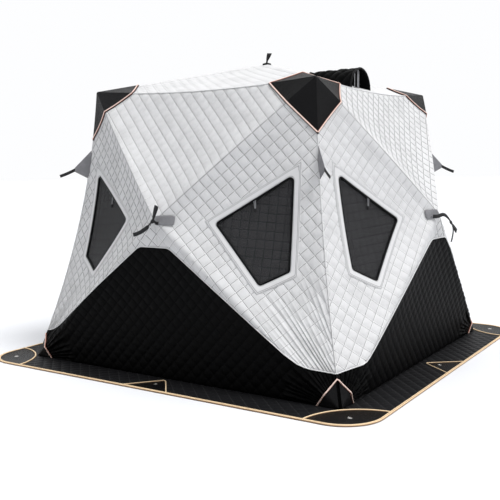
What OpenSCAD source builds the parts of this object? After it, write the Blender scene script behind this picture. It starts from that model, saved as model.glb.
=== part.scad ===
// Pop-up ice fishing hut: four quilted walls and a quilted roof, each pushed out by a
// central hub with four poles, over a quilted ground skirt.
// Millimetres. Origin on the ground at the middle of the hut, +Z up, front wall towards -Y.

/* [Shelter] */
// Length of each wall along the ground
base_w = 2400; // [2000:50:2800]
// Distance between two neighbouring roof corners
roof_w = 1734; // [1500:2:1900]
// Height of the roof corners above the ground
eave_h = 1860; // [1600:10:2100]
// Height of the roof hub above the ground
peak_h = 2080; // [1900:10:2400]
// Height of the wall hubs above the ground
hub_h = 1020; // [850:10:1200]
// How far each wall hub stands out past the ground line of its wall
hub_out = 120; // [60:5:180]

/* [Fabric] */
// Thickness of the quilted wall fabric
pad_t = 8; // [5:1:12]
// Thickness of the smooth reinforcing fabric on corners and hubs
skin_t = 3; // [2:0.5:4]
// How far the fabric draws in at the middle of each corner seam
corner_pull = 80; // [40:5:120]
// How far the fabric sags at the middle of each roof seam
eave_sag = 36; // [10:2:60]

/* [Black cloth] */
// Height of the black cloth under each wall hub
black_top = 852; // [700:2:880]
// Half width of the black cloth's flat top
black_top_w = 115; // [100:5:250]
// Height of the black cloth at the corner seams
black_side = 186; // [170:2:210]
// How far the black cloth's top is off the middle of the front and back walls
front_shift = -30; // [-80:5:80]
// How far the black cloth's top is off the middle of the side walls
side_shift = 65; // [-80:5:80]

/* [Skirt] */
// Width of the ground skirt
skirt_w = 260; // [150:10:320]
// Thickness of the ground skirt
skirt_t = 6; // [4:1:8]
// Radius of the skirt's outer corners
skirt_r = 240; // [100:10:300]
// Radius of the grommet holes
grommet_r = 6; // [4:0.5:8]
// Distance of the corner grommets from both middle lines
grommet_corner = 1305; // [1290:5:1320]
// Distance of the mid-side grommets from the middle
grommet_mid = 1340; // [1300:5:1400]

/* [Windows] */
// Corner radius of the windows
window_r = 26; // [10:2:40]
// Thickness of the window film
film_t = 2; // [1:0.5:3]
// How far the inner cover overlaps the window all round
cover_lap = 24; // [10:2:30]

/* [Vent hood] */
// Distance of the hood's closed end from the roof hub
hood_start = 370; // [300:10:420]
// Distance of the hood's open mouth from the roof hub
hood_end = 750; // [700:10:780]
// Width of the hood's mouth
hood_w = 300; // [240:10:340]
// Height of the hood's mouth over the roof
hood_h = 140; // [100:5:180]

/* [Poles] */
// Diameter of the poles
pole_d = 11; // [8:0.5:13]
// Diameter of the hubs
hub_d = 84; // [70:2:100]

/* [Webbing] */
// Width of the pull straps on the wall hubs
strap_w = 24; // [20:1:26]
// Thickness of the pull straps
strap_t = 3; // [2:0.5:4]

/* [Hidden] */

base = base_w / 2;
roof = roof_w / 2;
seam_steps = 8;
lay_gap = 0.4;
light_quilt = [0.86, 0.86, 0.88];
black_quilt = [0.08, 0.08, 0.09];
black_smooth = [0.14, 0.14, 0.15];
grey_smooth = [0.55, 0.55, 0.57];

// Window corners as shares of wall hub, roof corner and ground corner.
window_shares = [
  [0.18, 0.595, 0.225], [0.635, 0.195, 0.17], [0.405, 0.135, 0.46], [0.24, 0.27, 0.49],
];

// Middle line of the pull strap on the front and back hubs, held out to one side.
front_strap = [
  [32, -1322, 1003], [32, -1330, 1003], [33, -1343, 1008], [31, -1356, 1015],
  [27, -1366, 1018], [20, -1372, 1012], [11, -1376, 1000], [1, -1380, 988],
  [-11, -1384, 976], [-24, -1387, 966], [-38, -1390, 957], [-52, -1392, 950],
  [-66, -1394, 944], [-80, -1395, 939], [-92, -1396, 936], [-102, -1396, 934],
];

// Middle line of the pull strap on the side hubs, hanging down.
side_strap = [
  [-78, -1306, 1006], [-78, -1314, 1006], [-72, -1325, 1006], [-62, -1336, 1007],
  [-49, -1347, 1013],
  [-35, -1356, 1017], [-21, -1366, 1013], [-8, -1373, 1004], [6, -1379, 992],
  [21, -1384, 978], [36, -1388, 962], [52, -1391, 947], [62, -1393, 930],
  [66, -1395, 910], [63, -1395, 890], [59, -1393, 868], [57, -1390, 849],
  [57, -1386, 831],
];

function mix(a, b, t) = a + (b - a) * t;
function unit(v) = v / norm(v);
function steps(n) = [for (i = [0:n]) i / n];
function bow(s) = 4 * s * (1 - s);
function flip_x(p) = [-p[0], p[1], p[2]];
function quarter_turn(p) = [-p[1], p[0], p[2]];

// Points of the front wall and roof, each at a depth d under the outer face.
function ground_corner(d) = [base - 0.8 * d, -base + 0.8 * d, 0];
function roof_corner(d) = [roof - 0.8 * d, -roof + 0.8 * d, eave_h - d];
function wall_hub(d) = [0, -base - hub_out + 1.1 * d, hub_h];
function roof_hub(d) = [0, 0, peak_h - d];
function corner_seam(d, s) =
  mix(ground_corner(d), roof_corner(d), s) + bow(s) * corner_pull / sqrt(2) * [-1, 1, 0];
function eave_seam(d, s) =
  mix(flip_x(roof_corner(d)), roof_corner(d), s) + bow(s) * eave_sag * [0, 0.3, -1];
function lower_point(d, along, up) =
  mix(mix(ground_corner(d), flip_x(ground_corner(d)), along / base_w), wall_hub(d), up / hub_h);

// A sheet that fans from an apex to a rim, with a front and a back face.
// The back diagonals swap sides when flip is true, so that two sheets share one seam face.
module fan(apex, apex_back, rim, rim_back, flip = false) {
  n = len(rim);
  fronts = [for (j = [0:n - 2]) [0, 2 + j, 3 + j]];
  backs = [for (j = [0:n - 2]) [1, n + 3 + j, n + 2 + j]];
  edges = [for (j = [0:n - 2]) each flip
    ? [[3 + j, 2 + j, n + 2 + j], [3 + j, n + 2 + j, n + 3 + j]]
    : [[2 + j, n + 2 + j, n + 3 + j], [2 + j, n + 3 + j, 3 + j]]];
  ends = [[0, n + 2, 2], [0, 1, n + 2], [0, n + 1, 2 * n + 1], [0, 2 * n + 1, 1]];
  polyhedron(concat([apex, apex_back], rim, rim_back), concat(fronts, backs, edges, ends));
}

// A closed body through rings of points, with flat ends.
// Each ring runs anticlockwise as seen from the last ring.
module loft(rings) {
  m = len(rings);
  n = len(rings[0]);
  end = (m - 1) * n;
  sides = [for (i = [0:m - 2]) for (j = [0:n - 1]) each [
    [i * n + j, (i + 1) * n + j, i * n + (j + 1) % n],
    [i * n + (j + 1) % n, (i + 1) * n + j, (i + 1) * n + (j + 1) % n]]];
  caps = [for (j = [1:n - 2]) each [[0, j, j + 1], [end, end + j + 1, end + j]]];
  polyhedron([for (ring = rings) each ring], concat(sides, caps));
}

// A skin with a closed ring of points around its middle point.
module ring_skin(middle, middle_back, ring, ring_back) {
  n = len(ring);
  faces = [for (j = [0:n - 1]) each [
    [0, 2 + j, 2 + (j + 1) % n],
    [1, n + 2 + (j + 1) % n, n + 2 + j],
    [2 + j, n + 2 + j, n + 2 + (j + 1) % n],
    [2 + j, n + 2 + (j + 1) % n, 2 + (j + 1) % n]]];
  polyhedron(concat([middle, middle_back], ring, ring_back), faces);
}

// Places the front wall's pieces on wall 0 front, 1 right, 2 back or 3 left.
module on_wall(k) rotate([0, 0, 90 * k]) children();

module on_all_walls() for (k = [0:3]) on_wall(k) children();

module upper_sheet(a, b) {
  fan(wall_hub(a), wall_hub(b),
    [for (s = steps(seam_steps)) eave_seam(a, s)],
    [for (s = steps(seam_steps)) eave_seam(b, s)]);
}

module lower_sheet(a, b) {
  fan(wall_hub(a), wall_hub(b),
    [ground_corner(a), flip_x(ground_corner(a))],
    [ground_corner(b), flip_x(ground_corner(b))]);
}

module side_sheet(a, b) {
  fan(wall_hub(a), wall_hub(b),
    [for (s = steps(seam_steps)) corner_seam(a, 1 - s)],
    [for (s = steps(seam_steps)) corner_seam(b, 1 - s)]);
}

module roof_sheet(a, b) {
  fan(roof_hub(a), roof_hub(b),
    [for (s = steps(seam_steps)) eave_seam(a, 1 - s)],
    [for (s = steps(seam_steps)) eave_seam(b, 1 - s)], flip = true);
}

// The window's outline pushed through the right side sheet, grown by a margin.
module window_cut(margin = 0) {
  reach = 160;
  along = unit(roof_corner(0) - wall_hub(0));
  across = unit(cross(along, ground_corner(0) - wall_hub(0)));
  down = cross(across, along);
  corners = [for (w = window_shares)
    w[0] * wall_hub(0) + w[1] * roof_corner(0) + w[2] * ground_corner(0) - wall_hub(0)];
  outline = [for (p = corners) [p * along, p * down]];
  origin = wall_hub(0);
  multmatrix([for (i = [0:2]) [along[i], down[i], across[i], origin[i]]])
    linear_extrude(2 * reach, center = true)
      offset(r = window_r + margin, $fn = 24)
        offset(delta = -window_r) polygon(outline);
}

// Outline of the black cloth as seen from the front, pushed through the wall.
module black_cut(shift) {
  top_r = 70;
  foot_r = 160;
  seam = [base - 54, black_side];
  knee = [base - 215, black_side + 29];
  rotate([90, 0, 0]) linear_extrude(2 * base)
    offset(r = -foot_r, $fn = 48) offset(delta = foot_r)
      offset(r = top_r, $fn = 32) offset(delta = -top_r)
        polygon([[shift - black_top_w, black_top], [shift + black_top_w, black_top],
          [shift + knee[0], knee[1]], seam, [2 * base, seam[1]], [2 * base, -base],
          [-2 * base, -base], [-2 * base, seam[1]], [-seam[0], seam[1]],
          [shift - knee[0], knee[1]]]);
}

module upper_panel() color(light_quilt) upper_sheet(0, pad_t);

module lower_panel(shift) {
  color(black_quilt) intersection() {
    union() {
      lower_sheet(0, pad_t);
      side_sheet(0, pad_t);
      mirror([1, 0, 0]) side_sheet(0, pad_t);
    }
    black_cut(shift);
  }
}

// Right light panel, which wraps over the pole on to the face below.
module side_panel(shift) {
  color(light_quilt) difference() {
    union() {
      side_sheet(0, pad_t);
      intersection() {
        lower_sheet(0, pad_t);
        translate([0, -2 * base, 0]) cube([base, 2 * base, hub_h]);
      }
    }
    black_cut(shift);
    window_cut();
  }
}

module roof_panel() color(light_quilt) roof_sheet(0, pad_t);

module vented_roof_panel() {
  vent_w = 160;
  vent_l = 110;
  vent_y = -590;
  color(light_quilt) difference() {
    roof_sheet(0, pad_t);
    translate([-vent_w / 2, vent_y, eave_h]) cube([vent_w, vent_l, peak_h - eave_h]);
  }
}

module window_pair() {
  front = (pad_t - film_t) / 2;
  for (side = [0, 1]) mirror([side, 0, 0])
    color([0.16, 0.17, 0.18]) intersection() {
      side_sheet(front, front + film_t);
      window_cut();
    }
}

module window_cover_pair() {
  for (side = [0, 1]) mirror([side, 0, 0])
    color(black_quilt) intersection() {
      side_sheet(pad_t, 1.7 * pad_t);
      window_cut(cover_lap);
    }
}

// Smooth cap over one roof corner, with a tail along every seam that meets there.
module roof_corner_cap() {
  along_roof = 0.24;
  along_eave = 0.19;
  along_crease = 0.18;
  along_corner = 0.18;
  function rim(d) = [
    mix(roof_corner(d), roof_hub(d), along_roof),
    quarter_turn(eave_seam(d, along_eave)),
    quarter_turn(mix(flip_x(roof_corner(d)), wall_hub(d), along_crease)),
    corner_seam(d, 1 - along_corner),
    mix(roof_corner(d), wall_hub(d), along_crease),
    eave_seam(d, 1 - along_eave)];
  front = -lay_gap - skin_t;
  color(black_smooth)
    ring_skin(roof_corner(front), roof_corner(-lay_gap), rim(front), rim(-lay_gap));
}

// Smooth boot over the foot of one corner, standing on the skirt.
module corner_foot() {
  height = 165;
  reach = 150;
  lift = skirt_t + lay_gap;
  function front_rim(d) = [
    lower_point(d, reach, lift),
    mix(ground_corner(d), wall_hub(d), 0.075)];
  function rim(d) = concat(front_rim(d), [corner_seam(d, height / eave_h)],
    [for (i = [1, 0]) let (p = front_rim(d)[i]) [-p[1], -p[0], p[2]]]);
  front = -lay_gap - skin_t;
  color(black_smooth)
    fan(corner_seam(front, lift / eave_h), corner_seam(-lay_gap, lift / eave_h),
      rim(front), rim(-lay_gap));
}

// All the sheets of one wall between two depths.
module wall_sheets(front, back) {
  upper_sheet(front, back);
  lower_sheet(front, back);
  side_sheet(front, back);
  mirror([1, 0, 0]) side_sheet(front, back);
}

// Smooth patch beside a wall hub, with the flat pad that the pull strap is sewn to.
module hub_patch(middle, strap) {
  patch_w = 120;
  patch_h = 58;
  pad_h = 12;
  pad_depth = 18;
  color(grey_smooth) {
    intersection() {
      union() wall_sheets(-skin_t, 0);
      translate([middle - patch_w / 2, wall_hub(0)[1] - pad_t, hub_h - patch_h / 2])
        cube([patch_w, 8 * pad_t, patch_h]);
    }
    difference() {
      translate(strap[0] - [strap_w / 2, 0, pad_h / 2])
        cube([strap_w, pad_depth, pad_h]);
      wall_sheets(0, pad_t);
    }
  }
}

// Fin on a corner seam with the webbing that a guy line ties to.
module guy_tab() {
  fin_top = 1455;
  fin_low = 1265;
  fin_tip = [1396, 1322];
  loop_end = [1500, 1278];
  fin_t = 4;
  loop_h = 11;
  function out(z) = norm([corner_seam(0, z / eave_h)[0], corner_seam(0, z / eave_h)[1]]);
  inset = 0.6;
  rotate([90, 0, -45]) {
    color(grey_smooth) linear_extrude(fin_t, center = true)
      polygon([[out(fin_top) + inset, fin_top], [fin_tip[0], fin_tip[1] + loop_h],
        [fin_tip[0], fin_tip[1] - loop_h], [out(fin_low) + inset, fin_low]]);
    color(black_smooth) linear_extrude(skin_t, center = true)
      polygon([[fin_tip[0], fin_tip[1] + loop_h], [loop_end[0], loop_end[1] + loop_h],
        [loop_end[0], loop_end[1] - loop_h], [fin_tip[0], fin_tip[1] - loop_h]]);
  }
}

// A half cone lying on the roof, closed at the hub end and open at the mouth.
module hood_body(shrink, from, to) {
  arc_steps = 14;
  fall = (peak_h - eave_h + eave_sag) / (roof - 0.3 * eave_sag);
  sink = 12;
  function section(y) =
    let (u = (y - hood_start) / (hood_end - hood_start))
    let (w = mix(22, hood_w / 2, u) - shrink, h = mix(20, hood_h, u) - shrink)
    let (floor_z = peak_h - fall * y)
    concat([for (a = [0:180 / arc_steps:180]) [w * cos(a), -y, floor_z + h * sin(a)]],
      [[-w, -y, floor_z - sink], [w, -y, floor_z - sink]]);
  loft([for (t = steps(4)) section(mix(from, to, t))]);
}

module vent_hood() {
  wall = 4;
  color(black_quilt) on_wall(1) difference() {
    hood_body(0, hood_start, hood_end);
    hood_body(wall, hood_start + 4 * wall, hood_end + wall);
    roof_sheet(0, 90);
  }
}

// Stitched webbing loop standing on the roof hub.
module roof_pull_tab() {
  tab_h = 80;
  tab_w = 46;
  foot_w = 24;
  foot_t = 4;
  color(black_smooth) {
    translate([-foot_w, -foot_w, peak_h]) cube([2 * foot_w, 2 * foot_w, foot_t]);
    rotate([90, 0, 35]) linear_extrude(strap_t, center = true) difference() {
      polygon([[-7, peak_h + foot_t], [7, peak_h + foot_t], [tab_w - 12, peak_h + tab_h - 14],
        [tab_w - 22, peak_h + tab_h], [-14, peak_h + 50], [-16, peak_h + 34]]);
      polygon([[-2, peak_h + 34], [20, peak_h + 60], [12, peak_h + 60], [-8, peak_h + 42]]);
    }
  }
}

// The whole skirt as one plate with rounded corners.
module skirt_plate() {
  side = base_w + 2 * skirt_w;
  inner = side - 2 * skirt_r;
  translate([-side / 2, -inner / 2, 0]) cube([side, inner, skirt_t]);
  translate([-inner / 2, -side / 2, 0]) cube([inner, side, skirt_t]);
  for (x = [-inner / 2, inner / 2], y = [-inner / 2, inner / 2])
    translate([x, y, 0]) cylinder(r = skirt_r, h = skirt_t, $fn = 64);
}

// Inner edge of the skirt, where it meets the leaning wall at the skirt's top face.
skirt_in = base + hub_out * skirt_t / hub_h;

module grommet_hole(x, y) {
  translate([x, y, -1]) cylinder(r = grommet_r, h = skirt_t + 2, $fn = 32);
}

// Front and back strips run to the outer corners.
module long_skirt() {
  side = base_w + 2 * skirt_w;
  color(black_quilt) difference() {
    intersection() {
      skirt_plate();
      translate([-side / 2, -side / 2, 0]) cube([side, side / 2 - skirt_in, skirt_t]);
    }
    grommet_hole(-grommet_corner, -grommet_corner);
    grommet_hole(grommet_corner, -grommet_corner);
    grommet_hole(0, -grommet_mid);
  }
}

// Left and right strips fit between the long ones.
module short_skirt() {
  color(black_quilt) difference() {
    translate([-skirt_in, -base - skirt_w, 0])
      cube([2 * skirt_in, base + skirt_w - skirt_in, skirt_t]);
    grommet_hole(0, -grommet_mid);
  }
}

// A straight round pole between two points.
module pole(from, to) {
  d = to - from;
  translate(from)
    rotate([0, acos(d[2] / norm(d)), atan2(d[1], d[0])])
      cylinder(d = pole_d, h = norm(d), $fn = 24);
}

hub_depth = pad_t + 30;
pole_depth = pad_t + 15;
pole_stop = 30;
function short_of(from, to, gap) = to - unit(to - from) * gap;
function wall_pole_top() = short_of(wall_hub(hub_depth), roof_corner(pole_depth), pole_stop);
function wall_pole_foot() =
  short_of(wall_hub(hub_depth), ground_corner(pole_depth) + [0, 0, pole_depth], pole_stop);
function roof_pole_end() = short_of(roof_hub(hub_depth), roof_corner(pole_depth), pole_stop);

module wall_frame() {
  hub_t = 24;
  color([0.2, 0.2, 0.21]) union() {
    translate(wall_hub(hub_depth)) rotate([90, 0, 0])
      cylinder(d = hub_d, h = hub_t, center = true, $fn = 48);
    for (side = [0, 1]) mirror([side, 0, 0]) {
      pole(wall_hub(hub_depth), wall_pole_top());
      pole(wall_hub(hub_depth), wall_pole_foot());
    }
  }
}

module roof_frame() {
  hub_t = 24;
  color([0.2, 0.2, 0.21]) union() {
    translate(roof_hub(hub_depth)) cylinder(d = hub_d, h = hub_t, center = true, $fn = 48);
    on_all_walls() pole(roof_hub(hub_depth), roof_pole_end());
  }
}

// Pockets inside the corners that hold the pole ends.
module corner_pocket_pair() {
  size = 110;
  top = roof_corner(pad_t);
  foot = ground_corner(pad_t);
  to_hub = unit(wall_hub(pad_t) - top) * size;
  up_hub = unit(wall_hub(pad_t) - foot) * size;
  function other_wall(v) = [-v[1], -v[0], v[2]];
  corner_faces = [[0, 1, 2], [0, 2, 3], [0, 3, 1], [1, 3, 2]];
  color(black_smooth) difference() {
    union() {
      polyhedron([top, top + other_wall(to_hub), top + to_hub,
        top + unit(roof_hub(pad_t) - top) * size], corner_faces);
      polyhedron([foot, foot + up_hub, foot + other_wall(up_hub),
        foot + unit([-1, 1, 0]) * size], corner_faces);
    }
    pole(wall_hub(hub_depth), wall_pole_top());
    pole(wall_hub(hub_depth), wall_pole_foot());
    on_wall(1) mirror([1, 0, 0]) {
      pole(wall_hub(hub_depth), wall_pole_top());
      pole(wall_hub(hub_depth), wall_pole_foot());
    }
    pole(roof_hub(hub_depth), roof_pole_end());
  }
}

// Flat webbing swept along a strap's middle line.
module pull_strap(line) {
  n = len(line);
  half_w = strap_w / 2;
  half_t = strap_t / 2;
  edge = half_w - half_t;
  outline = [[half_w, 0], [edge, half_t], [0, half_t], [-edge, half_t],
    [-half_w, 0], [-edge, -half_t], [0, -half_t], [edge, -half_t]];
  function heading(i) = i == 0 ? [0, -1, 0]
    : unit(line[min(i + 1, n - 1)] - line[i - 1]);
  function ring(i) =
    let (t = heading(i), w = unit([1, 0, 0] - t[0] * t), up = cross(t, w))
    [for (p = outline) line[i] + p[0] * w + p[1] * up];
  color(black_smooth) loft([for (i = [0:n - 1]) ring(i)]);
}

on_wall(0) upper_panel();  // front_upper_panel
on_wall(1) upper_panel();  // right_upper_panel
on_wall(2) upper_panel();  // back_upper_panel
on_wall(3) upper_panel();  // left_upper_panel
on_wall(0) lower_panel(front_shift);  // front_lower_panel
on_wall(1) lower_panel(side_shift);  // right_lower_panel
on_wall(2) lower_panel(front_shift);  // back_lower_panel
on_wall(3) lower_panel(side_shift);  // left_lower_panel
on_wall(0) side_panel(front_shift);  // front_right_panel
on_wall(1) side_panel(side_shift);  // right_right_panel
on_wall(2) side_panel(front_shift);  // back_right_panel
on_wall(3) side_panel(side_shift);  // left_right_panel
on_wall(0) mirror([1, 0, 0]) side_panel(-front_shift);  // front_left_panel
on_wall(1) mirror([1, 0, 0]) side_panel(-side_shift);  // right_left_panel
on_wall(2) mirror([1, 0, 0]) side_panel(-front_shift);  // back_left_panel
on_wall(3) mirror([1, 0, 0]) side_panel(-side_shift);  // left_left_panel
on_wall(0) roof_panel();  // front_roof_panel
on_wall(1) vented_roof_panel();  // right_roof_panel
on_wall(2) roof_panel();  // back_roof_panel
on_wall(3) roof_panel();  // left_roof_panel
on_wall(0) window_pair();  // front_windows
on_wall(1) window_pair();  // right_windows
on_wall(2) window_pair();  // back_windows
on_wall(3) window_pair();  // left_windows
on_all_walls() window_cover_pair();  // window_covers
on_all_walls() roof_corner_cap();  // roof_corner_caps
on_all_walls() corner_foot();  // corner_feet
union() {  // hub_patches
  for (i = [0, 2]) on_wall(i) hub_patch(60, front_strap);
  for (i = [1, 3]) on_wall(i) hub_patch(-65, side_strap);
}
on_all_walls() guy_tab();  // guy_tabs
vent_hood();
roof_pull_tab();
on_wall(0) long_skirt();  // front_skirt
on_wall(1) short_skirt();  // right_skirt
on_wall(2) long_skirt();  // back_skirt
on_wall(3) short_skirt();  // left_skirt
on_wall(0) wall_frame();  // front_frame
on_wall(1) wall_frame();  // right_frame
on_wall(2) wall_frame();  // back_frame
on_wall(3) wall_frame();  // left_frame
roof_frame();
on_all_walls() corner_pocket_pair();  // corner_pockets
on_wall(0) pull_strap(front_strap);  // front_pull_strap
on_wall(1) pull_strap(side_strap);  // right_pull_strap
on_wall(2) pull_strap(front_strap);  // back_pull_strap
on_wall(3) pull_strap(side_strap);  // left_pull_strap
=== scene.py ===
# %% [markdown]
# A pop-up ice fishing hut is a cube of quilted cloth that stands without guy ropes.
# Each wall, and the roof, is pushed outwards by one hub with four springy poles, so the
# cloth becomes four flat-sided fans that meet at the hub. The cloth is two layers of
# woven polyester with wadding between them, sewn together in squares, and that quilting
# is what the eye sees first. In Blender such a quilt could be a flat sheet with a bump
# texture, or real puffs in the mesh. This script makes real puffs, because the hut is
# looked at closely and from all sides, and keeps bump for stitches and weave.
# The first cell loads the fixed frame that all the new cloth hangs on.

import bpy
import numpy as np
from mathutils import Matrix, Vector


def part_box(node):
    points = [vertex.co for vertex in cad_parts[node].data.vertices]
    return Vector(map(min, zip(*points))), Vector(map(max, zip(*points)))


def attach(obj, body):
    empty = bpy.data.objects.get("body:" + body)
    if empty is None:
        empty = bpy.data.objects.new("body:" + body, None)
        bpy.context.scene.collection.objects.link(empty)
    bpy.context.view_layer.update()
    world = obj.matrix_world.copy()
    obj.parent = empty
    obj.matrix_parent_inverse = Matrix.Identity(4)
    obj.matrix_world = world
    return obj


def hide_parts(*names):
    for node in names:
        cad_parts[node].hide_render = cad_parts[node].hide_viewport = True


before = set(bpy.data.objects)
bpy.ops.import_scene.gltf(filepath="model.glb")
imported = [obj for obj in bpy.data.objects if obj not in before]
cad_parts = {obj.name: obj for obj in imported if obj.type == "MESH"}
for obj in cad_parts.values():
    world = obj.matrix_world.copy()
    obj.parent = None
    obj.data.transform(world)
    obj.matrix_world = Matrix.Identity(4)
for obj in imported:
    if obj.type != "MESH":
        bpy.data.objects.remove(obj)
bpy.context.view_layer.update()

WALLS = ["front", "right", "back", "left"]

# %% [markdown]
# Every place on the hut follows from a few sizes: the corners on the ground, the corners
# of the roof, and the hubs. They are read from the boxes of the frame's own parts, so the
# cloth fits even if the hut is made wider or taller. The front wall faces -Y. The other
# walls are the same wall turned by quarter turns, so only the front one is worked out.

# %% Driving sizes
upper_low, upper_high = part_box("front_upper_panel")
lower_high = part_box("front_lower_panel")[1]
ROOF = upper_high[0]
EAVE_H = upper_high[2]
HUB_H = upper_low[2]
BASE = lower_high[0]
BLACK_TOP = lower_high[2]
HUB = np.array([0.0, upper_low[1], HUB_H])
PEAK = np.array([0.0, 0.0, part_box("front_roof_panel")[1][2]])
GROUND_CORNER = np.array([BASE, -BASE, 0.0])
ROOF_CORNER = np.array([ROOF, -ROOF, EAVE_H])
CORNER_PULL = 0.080
EAVE_SAG = 0.036 * np.array([0, 0.3, -1])
UP = np.array([0, 0, 1.0])
print("base", BASE, "roof", ROOF, "eave", EAVE_H, "hub", HUB, "peak", PEAK)


def unit(vectors):
    """Vectors divided by their own length."""
    return vectors / np.linalg.norm(vectors, axis=-1, keepdims=True)


def mix(a, b, share):
    """a at share 0 and b at share 1, in a straight line between."""
    return a + (b - a) * share


def smooth(value, low, high):
    """0 below low, 1 above high and 3t^2 - 2t^3 between, so that it starts and ends gently."""
    t = np.clip((value - low) / (high - low), 0, 1)
    return t * t * (3 - 2 * t)


def polar(angle, distance):
    """The flat place (d cos a, d sin a)."""
    return np.stack([distance * np.cos(angle), distance * np.sin(angle)], axis=-1)


def distances(points):
    """How far along a line of points each one is, from 0."""
    return np.concatenate([[0], np.cumsum(np.linalg.norm(np.diff(points, axis=0), axis=1))])


def flip_x(points):
    """The mirror image on the other side of the wall's middle line."""
    return np.asarray(points) * [-1, 1, 1]


def quarter_turns(points, turns):
    """Points turned about the hut's middle: one turn takes the front wall to the right wall."""
    x, y, z = np.moveaxis(np.asarray(points, float), -1, 0)
    for _ in range(turns):
        x, y = -y, x
    return np.stack([x, y, z], axis=-1)


def corner_seam(share):
    """The seam between two walls, from the ground at 0 to the roof at 1.
    It is a straight line drawn in towards the hut by a parabola, 4 s (1 - s)."""
    s = np.asarray(share, float)[..., None]
    inwards = np.array([-1, 1, 0]) / np.sqrt(2)
    return mix(GROUND_CORNER, ROOF_CORNER, s) + 4 * s * (1 - s) * CORNER_PULL * inwards


def eave_seam(share):
    """The seam between a wall and the roof, from the wall's left end at 0 to its right end
    at 1. It sags by a parabola, 4 s (1 - s)."""
    s = np.asarray(share, float)[..., None]
    return mix(flip_x(ROOF_CORNER), ROOF_CORNER, s) + 4 * s * (1 - s) * EAVE_SAG


# %% [markdown]
# The camera stands half a metre below the eaves, almost six metres from the hut's middle,
# and looks at the corner between the front and the right wall. Its turn, tilt and slight
# roll are three angles, and its axes follow from them. The lens is about 57 mm, long enough
# that the walls don't bend towards the eye.

# %% Camera
CAMERA_PLACE = (3.0684, -5.0064, 1.368)
CAMERA_ANGLES = np.radians([32.82, 6.40, -0.50])
LENS = 56.6


def add_object(name, data):
    """A new object in the scene for some data."""
    made = bpy.data.objects.new(name, data)
    bpy.context.collection.objects.link(made)
    return made


def set_axes(made, side, up, back, place):
    """Puts an object at a place, with its own x, y and z axes along three unit vectors."""
    rows = np.stack([side, up, back, np.array(place, float)], axis=1)
    made.matrix_world = Matrix([*rows.tolist(), [0, 0, 0, 1]])


def add_camera(place, turn, tilt, roll, lens):
    """A camera at a place. Its axes are a unit vector straight ahead, from the turn about
    the vertical and the tilt down, and the two at right angles to it, rolled about it."""
    ahead = np.array([-np.sin(turn) * np.cos(tilt), np.cos(turn) * np.cos(tilt), -np.sin(tilt)])
    level = np.array([np.cos(turn), np.sin(turn), 0])
    above = np.cross(level, ahead)
    right = level * np.cos(roll) + above * np.sin(roll)
    up = above * np.cos(roll) - level * np.sin(roll)
    data = bpy.data.cameras.new("camera")
    data.lens = lens
    data.clip_end = 200
    camera = add_object("camera", data)
    set_axes(camera, right, up, -ahead, place)
    bpy.context.scene.camera = camera
    return camera


camera = add_camera(CAMERA_PLACE, *CAMERA_ANGLES, LENS)
print("camera at", [round(c, 3) for c in camera.location])

# %% [markdown]
# A shape is held as plain arrays until it is whole: points, faces and the place of each
# point on the cloth. Arrays can be turned to the next wall, mirrored and joined in one
# line each, which is much faster than moving Blender objects about. Most pieces here are
# thin sheets, so one helper closes a front and a back face with a rim.

# %% Shapes as arrays
class Shape:
    """Points (n, 3), a list of face arrays (each with its own number of corners), and the
    cloth coordinates (n, 2) that its material follows. A quilted sheet also keeps the phase
    and depth of its folds, and the size that it was cut to."""

    def __init__(self, points, faces, cloth, folds=None, cut=None):
        self.points = np.asarray(points, float).reshape(-1, 3)
        self.faces, self.cloth, self.folds, self.cut = faces, cloth, folds, cut

    def turned(self, turns):
        """The same shape on another wall."""
        points = quarter_turns(self.points, turns)
        return Shape(points, self.faces, self.cloth, self.folds, self.cut)

    def mirrored(self):
        """The mirror image, with each face's corners reversed so that it still faces out."""
        faces = [f[:, ::-1] for f in self.faces]
        return Shape(flip_x(self.points), faces, self.cloth, self.folds, self.cut)

    def __add__(self, other):
        """Both shapes as one, not welded."""
        shifted = [f + len(self.points) for f in other.faces]
        return Shape(np.concatenate([self.points, other.points]), self.faces + shifted,
                     np.concatenate([self.cloth, other.cloth]))

    def on_all_walls(self):
        """Four copies, one on each wall."""
        return self + self.turned(1) + self.turned(2) + self.turned(3)


def grid_faces(rows, columns, wrap_rows=False, wrap_columns=False):
    """The four-cornered faces of a grid of points. A face's normal is the row direction
    crossed with the column direction."""
    index = np.arange(rows * columns).reshape(rows, columns)
    index = np.concatenate([index, index[:1]]) if wrap_rows else index
    index = np.concatenate([index, index[:, :1]], axis=1) if wrap_columns else index
    corners = [index[:-1, :-1], index[1:, :-1], index[1:, 1:], index[:-1, 1:]]
    return np.stack(corners, axis=-1).reshape(-1, 4)


def open_edges(faces):
    """The edges, in their faces' own direction, that only one face uses."""
    start, end = faces.ravel(), np.roll(faces, -1, axis=1).ravel()
    count = int(faces.max()) + 1
    alone = ~np.isin(start * count + end, end * count + start)
    return start[alone], end[alone]


def thicken(front, back, faces, cloth):
    """A closed sheet from an open one: the front face, the same faces reversed on the back,
    and a quad along every open edge."""
    n = len(cloth)
    start, end = open_edges(faces)
    rim = np.stack([end, start, start + n, end + n], axis=1)
    points = np.concatenate([front.reshape(-1, 3), back.reshape(-1, 3)])
    return Shape(points, [faces, faces[:, ::-1] + n, rim], np.concatenate([cloth, cloth]))


def grid_sheet(front, back, u, v, order=1):
    """A closed sheet from two grids of points and their cloth coordinates. Its faces turn
    the other way round for an order of -1."""
    cloth = np.stack([u.ravel(), v.ravel()], axis=1)
    return thicken(front, back, grid_faces(*u.shape)[:, ::order], cloth)


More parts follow.
